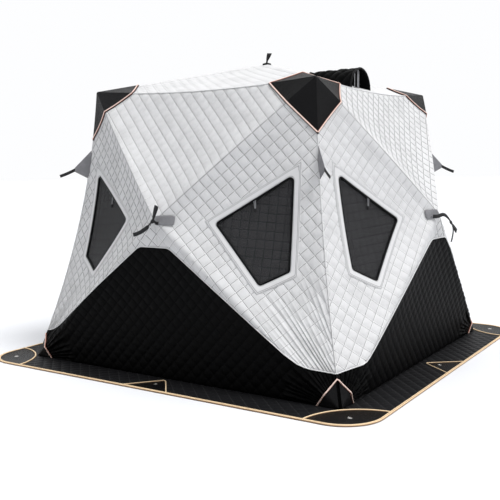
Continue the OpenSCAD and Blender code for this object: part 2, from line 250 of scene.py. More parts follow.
def swept(path, up, outline, closed=False):
    """An outline (m, 2), or one for each point (n, m, 2), in sideways and up coordinates,
    carried along a path. Sideways is the path's direction crossed with up, and the outline
    runs anticlockwise seen from the path's start. An open path gets flat ends."""
    path, up = np.asarray(path, float), np.asarray(up, float)
    outline = np.asarray(outline, float)
    if closed:
        ahead = unit(np.roll(path, -1, axis=0) - np.roll(path, 1, axis=0))
    else:
        ahead = unit(np.gradient(path, axis=0))
    side = unit(np.cross(ahead, np.broadcast_to(up, path.shape)))
    over = np.cross(side, ahead)
    points = path[:, None] + side[:, None] * outline[..., :1] + over[:, None] * outline[..., 1:]
    n, m = points.shape[:2]
    faces = [grid_faces(n, m, closed, True)]
    if not closed:
        faces += [np.arange(m)[None], (n - 1) * m + np.arange(m)[None, ::-1]]
    places = distances(path)[:, None], distances(outline.reshape(-1, m, 2)[-1])[None]
    cloth = np.stack(np.broadcast_arrays(*places), axis=-1)
    return Shape(points, faces, cloth.reshape(-1, 2))


def circle(radius, sides=8):
    """A round outline, (r cos a, r sin a), that starts at its lowest point."""
    a = np.linspace(-np.pi / 2, 3 * np.pi / 2, sides, endpoint=False)
    return radius * np.stack([np.cos(a), np.sin(a)], axis=1)


def round_cord(path, up, radius, closed=False, sides=10):
    """A round cord. Its second cloth coordinate is 0 underneath and 0.5 on top."""
    shape = swept(path, up, circle(radius, sides), closed)
    shape.cloth[:, 1] /= 2 * sides * radius * np.sin(np.pi / sides)
    return shape


def ribbon(width, thickness):
    """A flat strap's outline with softened edges."""
    w, t = width / 2, thickness / 2
    half = [[w, 0], [w - t, t], [0, t], [t - w, t]]
    return np.array(half + [[-x, -y] for x, y in half])


def add_piece(name, shape, paint, replaces=(), sharp=50):
    """Puts a shape into a Blender mesh that rides on the hut's body."""
    mesh = bpy.data.meshes.new(name)
    mesh.from_pydata(shape.points, [], [row for f in shape.faces for row in f.tolist()])
    corners = np.concatenate([f.ravel() for f in shape.faces])
    for key, places in (("cloth", shape.cloth), ("folds", shape.folds)):
        if places is not None:
            layer = mesh.uv_layers.new(name=key)
            layer.uv.foreach_set("vector", places[corners].astype(np.float32).ravel())
    mesh.validate()
    mesh.shade_smooth()
    mesh.set_sharp_from_angle(angle=np.radians(sharp))
    mesh.materials.append(paint)
    made = add_object(name, mesh)
    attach(made, "root")
    if replaces:
        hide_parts(*replaces)
    print(f"{name}: {len(mesh.polygons)} faces")
    return made


print("shapes ready")

# %% [markdown]
# A procedural material is a sum of patterns. Written node by node it hides its own idea,
# so here a socket is wrapped in a small class whose operators add the nodes: the line
# `1 - mask * 0.3` makes a multiply and a subtract node. Colours must not pass through a
# Math node, which turns them grey, so they have a method of their own.

# %% Shader sums
class Value:
    """One number socket of a node tree, used in Python sums."""

    def __init__(self, nodes, socket):
        self.nodes = nodes
        self.socket = socket

    def maths(self, operation, *values):
        """A Math node on this value and others."""
        inputs = dict(enumerate([self, *values]))
        return self.nodes.node("ShaderNodeMath", {"operation": operation}, inputs)

    def __add__(self, other):
        return self.maths("ADD", other)

    def __sub__(self, other):
        return self.maths("SUBTRACT", other)

    def __rsub__(self, other):
        return self.nodes.node("ShaderNodeMath", {"operation": "SUBTRACT"}, {0: other, 1: self})

    def __mul__(self, other):
        return self.maths("MULTIPLY", other)

    def __abs__(self):
        return self.maths("ABSOLUTE")

    def part(self):
        """What is left after the whole number is taken off."""
        return self.maths("FRACT")

    def larger(self, other):
        return self.maths("MAXIMUM", other)

    def smaller(self, other):
        return self.maths("MINIMUM", other)

    def ramp(self, low, high, start=0.0, end=1.0):
        """A smooth rise from start at low to end at high."""
        settings = {"interpolation_type": "SMOOTHSTEP"}
        inputs = {"Value": self, "From Min": low, "From Max": high, "To Min": start, "To Max": end}
        return self.nodes.node("ShaderNodeMapRange", settings, inputs)


class Nodes:
    """The node tree of a material or of the world, and the node that is fed in it."""

    def __init__(self, owner, shader):
        owner.use_nodes = True
        self.owner, self.tree = owner, owner.node_tree
        self.shader = self.tree.nodes[shader]

    def node(self, kind, settings=(), inputs=(), output=0):
        """Any node: its settings first, then the values or links of its sockets."""
        made = self.tree.nodes.new(kind)
        for key, value in dict(settings).items():
            setattr(made, key, value)
        for key, value in dict(inputs).items():
            if isinstance(value, Value):
                self.tree.links.new(value.socket, made.inputs[key])
            else:
                made.inputs[key].default_value = value
        return Value(self, made.outputs[output])

    def feed(self, values):
        """Links values into the shader's sockets."""
        for key, value in values.items():
            self.tree.links.new(value.socket, self.shader.inputs[key])
        return self.owner


class Paint(Nodes):
    """A material with one Principled shader, and the nodes that feed it."""

    def __init__(self, name, fixed=()):
        super().__init__(bpy.data.materials.new(name), "Principled BSDF")
        for key, value in dict(fixed).items():
            self.shader.inputs[key].default_value = value

    def finish(self, colour, roughness, height, distance, strength=1.0):
        """The finished material: a colour, a gloss, and a bump of a height from 0 to 1,
        distance metres high."""
        inputs = {"Height": height, "Distance": distance, "Strength": strength}
        normal = self.node("ShaderNodeBump", {}, inputs)
        return self.feed({"Base Color": colour, "Roughness": roughness, "Normal": normal})

    def colours(self, first, second, share):
        """One colour at share 0 and another at 1."""
        settings = {"data_type": "RGBA"}
        return self.node("ShaderNodeMix", settings, {0: share, 6: first, 7: second}, output=2)

    def cloth(self, key="cloth"):
        """The two numbers that a mesh stores for each point under a key."""
        place = self.node("ShaderNodeUVMap", {"uv_map": key})
        return [self.node("ShaderNodeSeparateXYZ", {}, {0: place}, axis) for axis in (0, 1)]

    def noise(self, scale, detail=2.0, stretch=(1, 1, 1)):
        """Noise on object coordinates, about 0.5, with scale in bumps a metre."""
        place = self.node("ShaderNodeTexCoord", output=3)
        spread = self.node("ShaderNodeMapping", {}, {"Vector": place, "Scale": stretch})
        inputs = {"Vector": spread, "Scale": scale, "Detail": detail}
        return self.node("ShaderNodeTexNoise", {}, inputs)

    def wave(self, value, count):
        """A sine of a value, count waves in each unit, from 0 to 1."""
        return (value * (2 * np.pi * count)).maths("SINE") * 0.5 + 0.5


def rgb(red, green, blue):
    """A linear colour with full alpha."""
    return (red, green, blue, 1.0)


print("shader sums ready")

# %% [markdown]
# The quilted cloth has a plain weave and is sewn in squares. The cloth coordinates count
# squares, so a seam lies where either coordinate is a whole number, and one formula serves
# every panel. Each seam is a pale thread line, partly the thread's own colour and partly a
# painted highlight where the stitch ridge catches light. Beside it runs a thin dark line of
# painted shade in the valley, so the seams read as white lines on a panel in shade and as
# dark ones on a panel in the sun. Where a panel is gathered, small pleats run over the
# squares. The mesh stores how far along the row of pleats each point is, and how deep they
# are there, and a sine turns that into folds.

# %% Quilted cloth
THREADS = 40
# The thread line, partly a painted highlight, and the valley's line of painted shade: each is an
# offset from the seam, the half width where it has faded out and the half width where it is full,
# in squares.
THREAD_AND_HIGHLIGHT_LINE = (0.014, 0.034, 0.018)
VALLEY_SHADE_LINE = (-0.030, 0.038, 0.018)
WORN = 0.88


def seam_lines(off_u, off_v, beside, wide, narrow):
    """1 on lines that run beside the seams, falling to 0 from the narrow distance to the
    wide one."""
    lines = [abs(off + beside).ramp(wide, narrow) for off in (off_u, off_v)]
    return lines[0].larger(lines[1])


def quilt_paint(name, cloth, thread, valley, rough, shine=0.3):
    """Quilted cloth. The distance from the nearest seam is |fract(u + 0.5) - 0.5|, which is
    0 on a seam and 0.5 in the middle of a square. The valley lies at its positive side. The
    valley colour is painted shade in the groove. The thread colour, where it is lighter than
    the cloth, is partly a painted highlight on the stitch ridge."""
    paint = Paint(name, {"Specular IOR Level": shine})
    u, v = paint.cloth()
    phase, depth = paint.cloth("folds")
    off_u, off_v = (u + 0.5).part() - 0.5, (v + 0.5).part() - 0.5
    open_cloth = 1 - depth.smaller(1.0) * 0.75
    seam = seam_lines(off_u, off_v, *THREAD_AND_HIGHLIGHT_LINE) * open_cloth
    dark = seam_lines(off_u, off_v, *VALLEY_SHADE_LINE) * open_cloth
    near = 0.5 - abs(off_u).smaller(abs(off_v))
    weave = paint.wave(u, THREADS) * 0.5 + paint.wave(v, THREADS) * 0.5
    pucker = paint.noise(90, 3.0) * near.ramp(0.2, 0.5)
    soft = paint.noise(7, 4.0)
    grain = paint.noise(400, 2.0)
    pleats = paint.wave(phase, 1) * paint.wave(phase, 1) * depth
    worn = paint.colours(cloth, rgb(*(c * WORN for c in cloth[:3])), soft.ramp(0.4, 0.75))
    # Painted shade: the valley colour darkens the groove beside each seam. The thread colour laid
    # over it is partly a painted highlight on the stitch ridge.
    with_valley_shade = paint.colours(worn, valley, dark)
    colour = paint.colours(with_valley_shade, thread, seam)
    height = (weave * 0.05 + pucker * 0.5 + soft * 0.25 + seam * 0.2 - dark * 0.5
              + pleats * 2.2)
    return paint.finish(colour, grain * 0.12 + (rough - 0.06), height, 0.0022)


# The colours are the cloth, the thread line, partly a painted highlight where it is lighter than
# the cloth, and the painted shade in the valleys.
LIGHT_QUILT = quilt_paint("light_quilted_cloth", rgb(0.70, 0.70, 0.705), rgb(0.90, 0.90, 0.90),
                          rgb(0.13, 0.13, 0.135), 0.62)
BLACK_QUILT = quilt_paint("black_quilted_cloth", rgb(0.0012, 0.0012, 0.0013),
                          rgb(0.004, 0.004, 0.0045), rgb(0.001, 0.001, 0.001), 0.50, shine=0.04)
SKIRT_QUILT = quilt_paint("black_skirt_cloth", rgb(0.007, 0.007, 0.008),
                          rgb(0.035, 0.035, 0.037), rgb(0.002, 0.002, 0.002), 0.55, shine=0.15)
COVER_QUILT = quilt_paint("dark_quilted_cover", rgb(0.19, 0.19, 0.195),
                          rgb(0.13, 0.13, 0.135), rgb(0.06, 0.06, 0.062), 0.6)
print("quilted cloths ready")

# %% [markdown]
# All the other finishes are quieter. The smooth coated cloth of the caps, feet and patches
# has a fine weave and soft creases. Webbing is a heavier weave. Piping is a thin coloured
# cord in a sewn sleeve. The cloths, the webbing and the pale piping share one function,
# because they differ only in colour, in the size of the weave and in how soft the creases
# are. The coloured piping has its own, with small ribs and painted shade down its sides.

# %% Smooth cloths, webbing and piping
def woven_paint(name, colour, weave, rough, crease=0.4, depth=0.0012, light=1.35, shine=0.3):
    """Plain woven cloth: two sines along the cloth coordinates, in threads a metre, a slow
    noise for the creases, and a colour that is a little lighter where the noise is high."""
    paint = Paint(name, {"Specular IOR Level": shine})
    u, v = paint.cloth()
    threads = paint.wave(u, weave) * 0.5 + paint.wave(v, weave) * 0.5
    creases = paint.noise(16, 4.0)
    grain = paint.noise(300, 2.0)
    lighter = rgb(*(c * light for c in colour[:3]))
    shade = paint.colours(colour, lighter, creases.ramp(0.45, 0.7) * 0.6 + grain * 0.3)
    height = threads * 0.2 + creases * crease + grain * 0.1
    return paint.finish(shade, grain * 0.15 + (rough - 0.07), height, depth)


BLACK_CLOTH = woven_paint("black_coated_cloth", rgb(0.003, 0.003, 0.0035), 500, 0.38, depth=0.003,
                          shine=0.10)
GREY_CLOTH = woven_paint("grey_coated_cloth", rgb(0.20, 0.20, 0.21), 500, 0.5)
PALE_PIPING = woven_paint("pale_piping", rgb(0.76, 0.76, 0.76), 600, 0.5, light=1.05)
BLACK_WEBBING = woven_paint("black_webbing", rgb(0.008, 0.008, 0.009), 300, 0.6, 0.1)
POCKET_CLOTH = woven_paint("black_pocket_cloth", rgb(0.016, 0.016, 0.017), 400, 0.6)


def piping_paint(name, top, side):
    """A sewn cord: one colour on top and a darker one down its sides, by the second cloth
    coordinate, with small ribs where the thread crosses it. The darker sides are painted shade."""
    paint = Paint(name, {"Specular IOR Level": 0.3})
    u, v = paint.cloth()
    # Mask of the painted shade down the cord's sides: 0 on top and 1 down its flanks.
    down = abs(v - 0.5).ramp(0.10, 0.21)
    ribs = paint.wave(u, 350)
    grain = paint.noise(300, 2.0)
    colour = paint.colours(top, side, down)
    return paint.finish(colour, grain * 0.2 + 0.4, ribs + grain, 0.0003)


STITCH_ROWS = (0.0395, 0.0470)
INNER_SEAM = 0.0135


def band_paint():
    """Smooth light cloth with two rows of stitches near its outer edge and a seam near its
    inner one. The second cloth coordinate is the distance from the window."""
    paint = Paint("light_window_band", {"Specular IOR Level": 0.3})
    v = paint.cloth()[1]
    first, second = [abs(v - row).ramp(0.0022, 0.0008) for row in STITCH_ROWS]
    rows = first.larger(second)
    seams = rows.larger(abs(v - INNER_SEAM).ramp(0.0020, 0.0006))
    creases = paint.noise(30, 4.0)
    colour = paint.colours(rgb(0.70, 0.70, 0.705), rgb(0.24, 0.24, 0.25), seams * 0.75)
    return paint.finish(colour, creases * 0.2 + 0.45, creases * 0.8 - rows * 0.4, 0.003)


# The second colour of each piping is painted shade for the sides of the cord.
PEACH_PIPING = piping_paint("peach_piping", rgb(0.90, 0.70, 0.62), rgb(0.42, 0.16, 0.11))
CREAM_PIPING = piping_paint("cream_piping", rgb(0.86, 0.66, 0.42), rgb(0.40, 0.24, 0.13))
WINDOW_BAND = band_paint()
print("smooth cloths ready")

# %% [markdown]
# The windows are clear vinyl, smoked dark, with a low sheen and slow ripples where it is
# stretched. It lets some of the quilted cover behind it show. The grommets are plated
# brass, and the poles are glass fibre in black with moulded hubs.

# %% Film, metal and poles
def film_paint():
    """Smoked film: dark, glossy, part see-through, with slow ripples in its surface."""
    paint = Paint("smoked_film", {"Specular IOR Level": 0.08, "Alpha": 0.42})
    ripples = paint.noise(5, 3.0, stretch=(1, 1, 3))
    streaks = paint.noise(40, 2.0)
    haze = paint.colours(rgb(0.018, 0.018, 0.020), rgb(0.032, 0.032, 0.034), ripples)
    return paint.finish(haze, streaks * 0.10 + 0.08, ripples, 0.012, 0.7)


def metal_paint():
    """Plated metal, with fine scratches in its gloss."""
    paint = Paint("plated_grommet", {"Metallic": 1.0})
    scratches = paint.noise(500, 3.0, stretch=(1, 6, 1))
    tint = paint.colours(rgb(0.72, 0.71, 0.68), rgb(0.55, 0.54, 0.52), scratches)
    return paint.finish(tint, scratches * 0.3 + 0.15, scratches, 0.0003)


def pole_paint():
    """Black glass fibre, with fibres that show faintly."""
    paint = Paint("black_glass_fibre")
    fibres = paint.noise(250, 3.0)
    tint = paint.colours(rgb(0.012, 0.012, 0.013), rgb(0.035, 0.035, 0.037), fibres)
    return paint.finish(tint, fibres * 0.2 + 0.25, fibres, 0.0004)


SMOKED_FILM = film_paint()
PLATED_METAL = metal_paint()
BLACK_POLE = pole_paint()
print("film, metal and poles ready")

# %% [markdown]
# The pull straps come before the cloth, because they hang freely. Each is a flat piece of
# webbing, 24 mm wide, sewn to the pad beside a wall hub. A person pulls it to pop the wall
# out. It leaves the pad, is pinched in a knot, and its own stiffness holds the rest out
# against the air: to one side on the front and back walls, and downwards on the others.
# Each line below is the middle of the webbing, in millimetres, for the front wall.

# %% Pull straps
FRONT_STRAP = np.array([
    (32, -1322, 1003), (32, -1330, 1003), (33, -1343, 1008), (31, -1356, 1015),
    (27, -1366, 1018), (20, -1372, 1012), (11, -1376, 1000), (1, -1380, 988),
    (-11, -1384, 976), (-24, -1387, 966), (-38, -1390, 957), (-52, -1392, 950),
    (-66, -1394, 944), (-80, -1395, 939), (-92, -1396, 936), (-102, -1396, 934),
]) / 1000
SIDE_STRAP = np.array([
    (-78, -1306, 1006), (-78, -1314, 1006), (-72, -1325, 1006), (-62, -1336, 1007),
    (-49, -1347, 1013), (-35, -1356, 1017), (-21, -1366, 1013), (-8, -1373, 1004),
    (6, -1379, 992), (21, -1384, 978), (36, -1388, 962), (52, -1391, 947),
    (62, -1393, 930), (66, -1395, 910), (63, -1395, 890), (59, -1393, 868),
    (57, -1390, 849), (57, -1386, 831),
]) / 1000
STRAPS = [(FRONT_STRAP, 4, np.array([0.067, -1.375, 1.112])),
          (SIDE_STRAP, 10, np.array([0.117, -1.400, 0.898]))]
STRAP_W = 0.024
STRAP_T = 0.003
STRAP_LEAN = np.array([0.3, 0, 1.0])
STEEP = 0.75
PINCHED_W = 0.011
LOOP_GAP = 0.005
LOOP_W = (0.007, 0.030)
KNOT_R = 0.009
KNOT_CORD_R = 0.0060


def widths(width):
    """The webbing's outline for each of a row of widths."""
    wide = (np.asarray(width) / STRAP_W)[:, None, None]
    return ribbon(STRAP_W, STRAP_T) * np.concatenate([wide, np.ones_like(wide)], axis=-1)


def strap_shape(route, knot):
    """Webbing along the route, pinched to half its width at the knot. The width grows with
    the distance from the knot, counted in points."""
    ahead = unit(np.gradient(route, axis=0))
    level = unit(STRAP_LEAN - (ahead @ STRAP_LEAN)[:, None] * ahead)
    level = np.where(abs(ahead[:, 2:]) > STEEP, [1.0, 0, 0], level)
    level = unit(level - (level * ahead).sum(1, keepdims=True) * ahead)
    away = abs(np.arange(len(route)) - knot)
    outline = widths(mix(PINCHED_W, STRAP_W, smooth(away, 0, 5)))
    return swept(route, np.cross(level, ahead), outline)


def teardrop(root, along, level, apart, power, width, count):
    """Webbing folded into a loop from a root to a fold. With r = (1 - cos a) / 2 its middle
    is root + r * along + sin(a) * r^power * apart, and its width grows with r^0.6."""
    a = np.linspace(0, 2 * np.pi, count)
    rise = (1 - np.cos(a)) / 2
    path = root + rise[:, None] * along + (np.sin(a) * rise ** power)[:, None] * apart
    ahead = unit(np.gradient(path, axis=0))
    return swept(path, np.cross(level, ahead), widths(mix(*width, rise ** 0.6)))


def finger_loop(root, tip):
    """The loop from the knot to a tip, and the ring of webbing that is the knot."""
    along = tip - root
    level = unit(np.cross([0, -1.0, 0], along))
    apart = -LOOP_GAP * unit(np.cross(level, along))
    t = np.linspace(0, 2 * np.pi, 14, endpoint=False)[:, None]
    ring = root + KNOT_R * np.cos(t) * [1.0, 0, 0] + KNOT_R * np.sin(t) * [0, 0.4, 0.9]
    knot = swept(ring, unit(ring - root), circle(KNOT_CORD_R), closed=True)
    return teardrop(root, along, level, apart, 1.0, LOOP_W, 25) + knot


for turns, wall in enumerate(WALLS):
    route, knot, tip = STRAPS[turns % 2]
    loop = add_piece(f"{wall}_strap_loop", finger_loop(route[knot], tip).turned(turns),
                     BLACK_WEBBING)
    strap = add_piece(f"{wall}_strap", strap_shape(route, knot).turned(turns), BLACK_WEBBING,
                      [f"{wall}_pull_strap"])
print("strap lengths", [round(float(distances(route)[-1]), 3) for route, _, _ in STRAPS])

# %% [markdown]
# A wall's cloth is a fan: straight threads run from the hub to every point of the rim.
# That makes it a cone, and a cone can be laid flat without stretching, which is how the
# real panels are cut. So the whole wall is laid flat once: a flat place (x, y) has an angle,
# which picks the point of the rim, and a distance from the hub, which says how far along
# the thread it is. Straight lines and square puffs drawn on the flat cloth then come out
# right on the bent one. The poles stretch it tight along their own lines, and between them
# it hangs in a little, so a small smooth depth is taken off at the end.

# %% Cloth laid flat
RIM_STEPS = 65
SAG = 0.020
BOW = 0.012
BOW_WIDTH = 0.080


class Cloth:
    """A fan of cloth between a hub and rims that follow each other clockwise, as seen from
    outside. Its flat x axis runs from the hub to the first rim's first point. Between the
    poles it sags inwards by up to its sag, and over each pole it stands out by up to its
    bow."""

    def __init__(self, hub, *rims, sag=0.0, bow=0.0):
        self.hub, self.sag, self.bow = hub, sag, bow
        self.bases, self.turns = [], [0.0]
        angle, reach, out = [], [], []
        for rim in rims:
            spokes = rim - hub
            along = unit(spokes[0])
            inwards = unit(np.cross(spokes[0], spokes[-1]))
            down = np.cross(inwards, along)
            x, y = spokes @ along, spokes @ down
            self.bases.append((along, down))
            angle.append(self.turns[-1] + np.arctan2(y, x))
            reach.append(np.hypot(x, y))
            out.append(-unit(np.cross(spokes, np.gradient(rim, axis=0))))
            self.turns.append(angle[-1][-1])
        for i in range(len(rims)):
            after = (i + 1) % len(rims)
            out[i][-1] = out[after][0] = unit(out[i][-1] + out[after][0])
        self.angle, self.reach = np.concatenate(angle), np.concatenate(reach)
        self.rim, self.out = np.concatenate(rims), np.concatenate(out)

    def angle_of(self, x, y):
        """The angle of a flat place, with the jump in the gap behind the last rim."""
        gap = (2 * np.pi - self.turns[-1]) / 2
        return np.mod(np.arctan2(y, x) + gap, 2 * np.pi) - gap

    def reach_at(self, angle):
        """The rim's distance from the hub."""
        return np.interp(angle, self.angle, self.reach)

    def sagging(self, angle, share):
        """How far the cloth sags: 4 t (1 - t) (1 - |2 s - 1|^3), with t the share of the way
        from the hub to the rim and s the share of the way from one pole to the next. Over a
        pole it bows out instead, by 4 t (1 - t) e^(-d / width) at a distance d from it."""
        turns = np.array(self.turns)
        number = np.clip(np.searchsorted(turns, angle) - 1, 0, len(turns) - 2)
        s = np.clip((angle - turns[number]) / (turns[number + 1] - turns[number]), 0, 1)
        t = np.clip(share[..., 0], 0, 1)
        nearest = np.minimum(angle - turns[number], turns[number + 1] - angle)
        away = abs(nearest) * t * self.reach_at(angle)
        over = self.bow * np.exp(-away / BOW_WIDTH)
        return 4 * t * (1 - t) * (self.sag * (1 - abs(2 * s - 1) ** 3) - over)

    def place(self, x, y, lift=0.0):
        """The point of the cloth at a flat place, lifted off it: hub + t (rim - hub), where
        t is the flat distance from the hub over the rim's own."""
        angle = self.angle_of(x, y)
        share = (np.hypot(x, y) / self.reach_at(angle))[..., None]
        lift = lift - self.sagging(angle, share)
        rim, out = [np.stack([np.interp(angle, self.angle, axis) for axis in table.T], axis=-1)
                    for table in (self.rim, self.out)]
        return self.hub + share * (rim - self.hub) + np.asarray(lift)[..., None] * unit(out)

    def spoke(self, number, distance):
        """The flat place at a distance along the spoke where a rim starts or ends."""
        return polar(self.turns[number], distance)

    def flat(self, points, number):
        """The flat places under points, square to the plane of one rim's corners."""
        along, down = self.bases[number]
        x, y = (points - self.hub) @ along, (points - self.hub) @ down
        c, s = np.cos(self.turns[number]), np.sin(self.turns[number])
        return x * c - y * s, x * s + y * c

    def inside_rim(self, x, y):
        """How far a flat place is inside the rim, measured along its thread."""
        return self.reach_at(self.angle_of(x, y)) - np.hypot(x, y)

    def wedge(self, first, last):
        """The fence of the wedge between two angles: how far inside it a flat place is."""
        return lambda x, y: np.minimum(y * np.cos(first) - x * np.sin(first),
                                       x * np.sin(last) - y * np.cos(last))

    def rim_places(self, first, last):
        """The hub, and the flat places of the rim between two angles."""
        chosen = (self.angle >= first) & (self.angle <= last)
        return np.concatenate([[[0, 0]], polar(self.angle[chosen], self.reach[chosen])])

share = np.linspace(0, 1, RIM_STEPS)
right_seam = corner_seam(1 - share)
left_seam = flip_x(corner_seam(share))
ground_line = mix(GROUND_CORNER, flip_x(GROUND_CORNER), share[:, None])
WALL = Cloth(HUB, eave_seam(share), right_seam, ground_line, left_seam, sag=SAG, bow=BOW)
front_eave = eave_seam(1 - share)
ROOF_CLOTH = Cloth(PEAK, quarter_turns(front_eave, 1), front_eave,
                   quarter_turns(front_eave, 3), quarter_turns(front_eave, 2), sag=SAG / 5)
print("wall spokes at", np.degrees(WALL.turns).round(1))
print("roof spokes at", np.degrees(ROOF_CLOTH.turns).round(1))

# %% [markdown]
# The quilt is a grid whose lines lie on the stitch lines and close beside them, so that a
# few points draw the tight valley and the full puff. Cells whose middle is outside the
# panel are dropped, and the points along the ragged edge are then moved on to the panel's
# true edge. The edge is the zero line of a "fence": a function that tells how far inside the
# panel a place is. One fence can be the smallest of several, which gives windows, curved
# edges and corners with the same few lines of code.

# %% Quilted sheets
CELL = 0.061
VALLEY = -0.0025
CREST = 0.0030
LINING = -0.0065
LINING_PUFF = 0.0025
CELL_LINES = np.array([0, 0.12, 0.35, 0.65, 0.88])


def quilt_lines(low, high, cell):
    """Grid lines on every stitch line and at fixed shares of each square."""
    cells = np.arange(np.floor(low / cell), np.ceil(high / cell) + 1)
    return ((cells[:, None] + CELL_LINES) * cell).ravel()


def hump(cells):
    """1 - (2 f - 1)^4, with f the place in a square: 0 on a line, nearly 1 across a puff."""
    f = cells - np.floor(cells)
    return 1 - (2 * f - 1) ** 4


def all_of(*fences):
    """The fence of the place that is inside every fence: the smallest of their values."""
    return lambda x, y: np.minimum.reduce([fence(x, y) for fence in fences])

def snap(fence, x, y):
    """Moves places on to the fence's zero line, by steps of its value over its slope."""
    tiny = 1e-4
    for _ in range(6):
        value = fence(x, y)
        slope_x = (fence(x + tiny, y) - value) / tiny
        slope_y = (fence(x, y + tiny) - value) / tiny
        size = np.maximum(slope_x ** 2 + slope_y ** 2, 0.05)
        step = np.clip(value / size, -0.03, 0.03)
        x, y = x - step * slope_x, y - step * slope_y
    return x, y


def flat_cut(faces, x, y):
    """The flat area of the cloth, and its width and length in the snugger of two frames
    that are half a quarter turn apart."""
    px, py = x[faces], y[faces]
    area = 0.5 * abs((px * np.roll(py, -1, 1) - py * np.roll(px, -1, 1)).sum(1)).sum()
    slant = (x + y) / np.sqrt(2), (y - x) / np.sqrt(2)
    boxes = [(np.ptp(a), np.ptp(b)) for a, b in ((x, y), slant)]
    return min(boxes, key=lambda box: box[0] * box[1]), float(area)


def quilted(place, fence, turn, ends, cell=CELL, lifts=(VALLEY, CREST, LINING, LINING_PUFF),
            calm=None, ripple=None, pleats=None, fade=0.012, outside=-1):
    """A closed quilted sheet. place(x, y, lift) gives its points, fence(x, y) its edge, turn
    the angle of its stitch lines, and ends some flat places that it reaches to. The front is
    lifted by valley + (crest - valley) * hump(u) * hump(v), faded out towards the edge.
    pleats(x, y) gives the phase and the depth of its small folds."""
    valley, crest, lining, lining_puff = lifts
    c, s = np.cos(turn), np.sin(turn)
    far_u, far_v = ends[:, 0] * c + ends[:, 1] * s, ends[:, 1] * c - ends[:, 0] * s
    u, v = np.meshgrid(quilt_lines(far_u.min(), far_u.max(), cell),
                       quilt_lines(far_v.min(), far_v.max(), cell), indexing="ij")
    faces = grid_faces(*u.shape)[:, ::outside]
    x, y = (u * c - v * s).ravel(), (u * s + v * c).ravel()
    faces = faces[fence(x[faces].mean(1), y[faces].mean(1)) > 0]
    used, faces = np.unique(faces, return_inverse=True)
    faces, x, y = faces.reshape(-1, 4), x[used], y[used]
    edge = np.unique(open_edges(faces)[0])
    x[edge], y[edge] = snap(fence, x[edge], y[edge])
    u, v = (x * c + y * s) / cell, (y * c - x * s) / cell
    puff = hump(u) * hump(v) * smooth(fence(x, y), 0, fade)
    puff = puff if calm is None else puff * calm(x, y)
    extra = 0 if ripple is None else ripple(x, y) * smooth(fence(x, y), 0, 2 * fade)
    front = place(x, y, valley + (crest - valley) * puff + extra)
    back = place(x, y, lining - lining_puff * puff + extra)
    shape = thicken(front, back, faces, np.stack([u, v], axis=1))
    shape.cut = flat_cut(faces, x, y)
    folds = np.zeros((len(x), 2)) if pleats is None else np.stack(pleats(x, y), axis=1)
    shape.folds = np.concatenate([folds, folds])
    return shape


def add_sheet(name, shape, paint, replaces=()):
    """A quilted sheet as a piece, whose edges are sharp only where its faces meet at over 80
    degrees.
    """
    made = add_piece(name, shape, paint, replaces, sharp=80)
    return made


print("quilting ready")

# %% [markdown]
# The black cloth's upper edge is one flowing line across the wall: level beside the hub,
# straight down to a knee on each side, and almost level from there to the corner seams. It
# is drawn as a height over x. The rounded corners come from a smooth minimum, which blends
# two heights over a short stretch where they cross. The level part is a little off the
# middle, to the left on the front and back walls and to the right on the others, so most
# functions for the wall's cloths are told that shift.

# %% The black cloth's edge
SHIFTS = (-0.030, 0.065)
BLACK_TOP_W = 0.115
BLACK_SIDE = 0.186
KNEE_H = 0.215
KNEE_IN = 0.215
SEAM_IN = 0.054
TOP_BLEND = 0.020
FOOT_BLEND = 0.045


def soft_minimum(a, b, blend):
    """The smaller of two values, less h^2 / 4 of the blend where they are close."""
    h = np.maximum(blend - abs(a - b), 0) / blend
    return np.minimum(a, b) - h * h * blend / 4


def black_height(x, shift):
    """Height of the black cloth's edge at a place x across the wall."""
    across = abs(x - shift)
    knee, seam = BASE - KNEE_IN, BASE - SEAM_IN - np.sign(x - shift) * shift
    slant = mix(BLACK_TOP, KNEE_H, (across - BLACK_TOP_W) / (knee - BLACK_TOP_W))
    low = np.maximum(mix(KNEE_H, BLACK_SIDE, (across - knee) / (seam - knee)), BLACK_SIDE)
    crown = soft_minimum(slant, BLACK_TOP + 0 * slant, TOP_BLEND)
    return -soft_minimum(-crown, -low, FOOT_BLEND)


def below_black_edge(x, y, shift):
    """How far a flat place of the wall is below the black cloth's edge."""
    point = WALL.place(x, y)
    return (black_height(point[..., 0], shift) - point[..., 2]) * 0.9


print("black edge at the middle", black_height(0.0, 0.0), "and the corner", black_height(BASE, 0.0))

# %% [markdown]
# A window has four sides and rounded corners. Its outline is kept as a ring of middles and
# directions, so that the same ring, grown by any margin, gives the film's edge, the black
# binding and the light band around it. The band's outer edge has sharp, mitred corners, so
# the ring has a second set of directions that reach out to them.

# %% Window outline
WINDOW_SHARES = np.array([
    [0.18, 0.595, 0.225], [0.635, 0.195, 0.17], [0.405, 0.135, 0.46], [0.24, 0.27, 0.49],
])
WINDOW_R = 0.014
BAND_END = 0.052


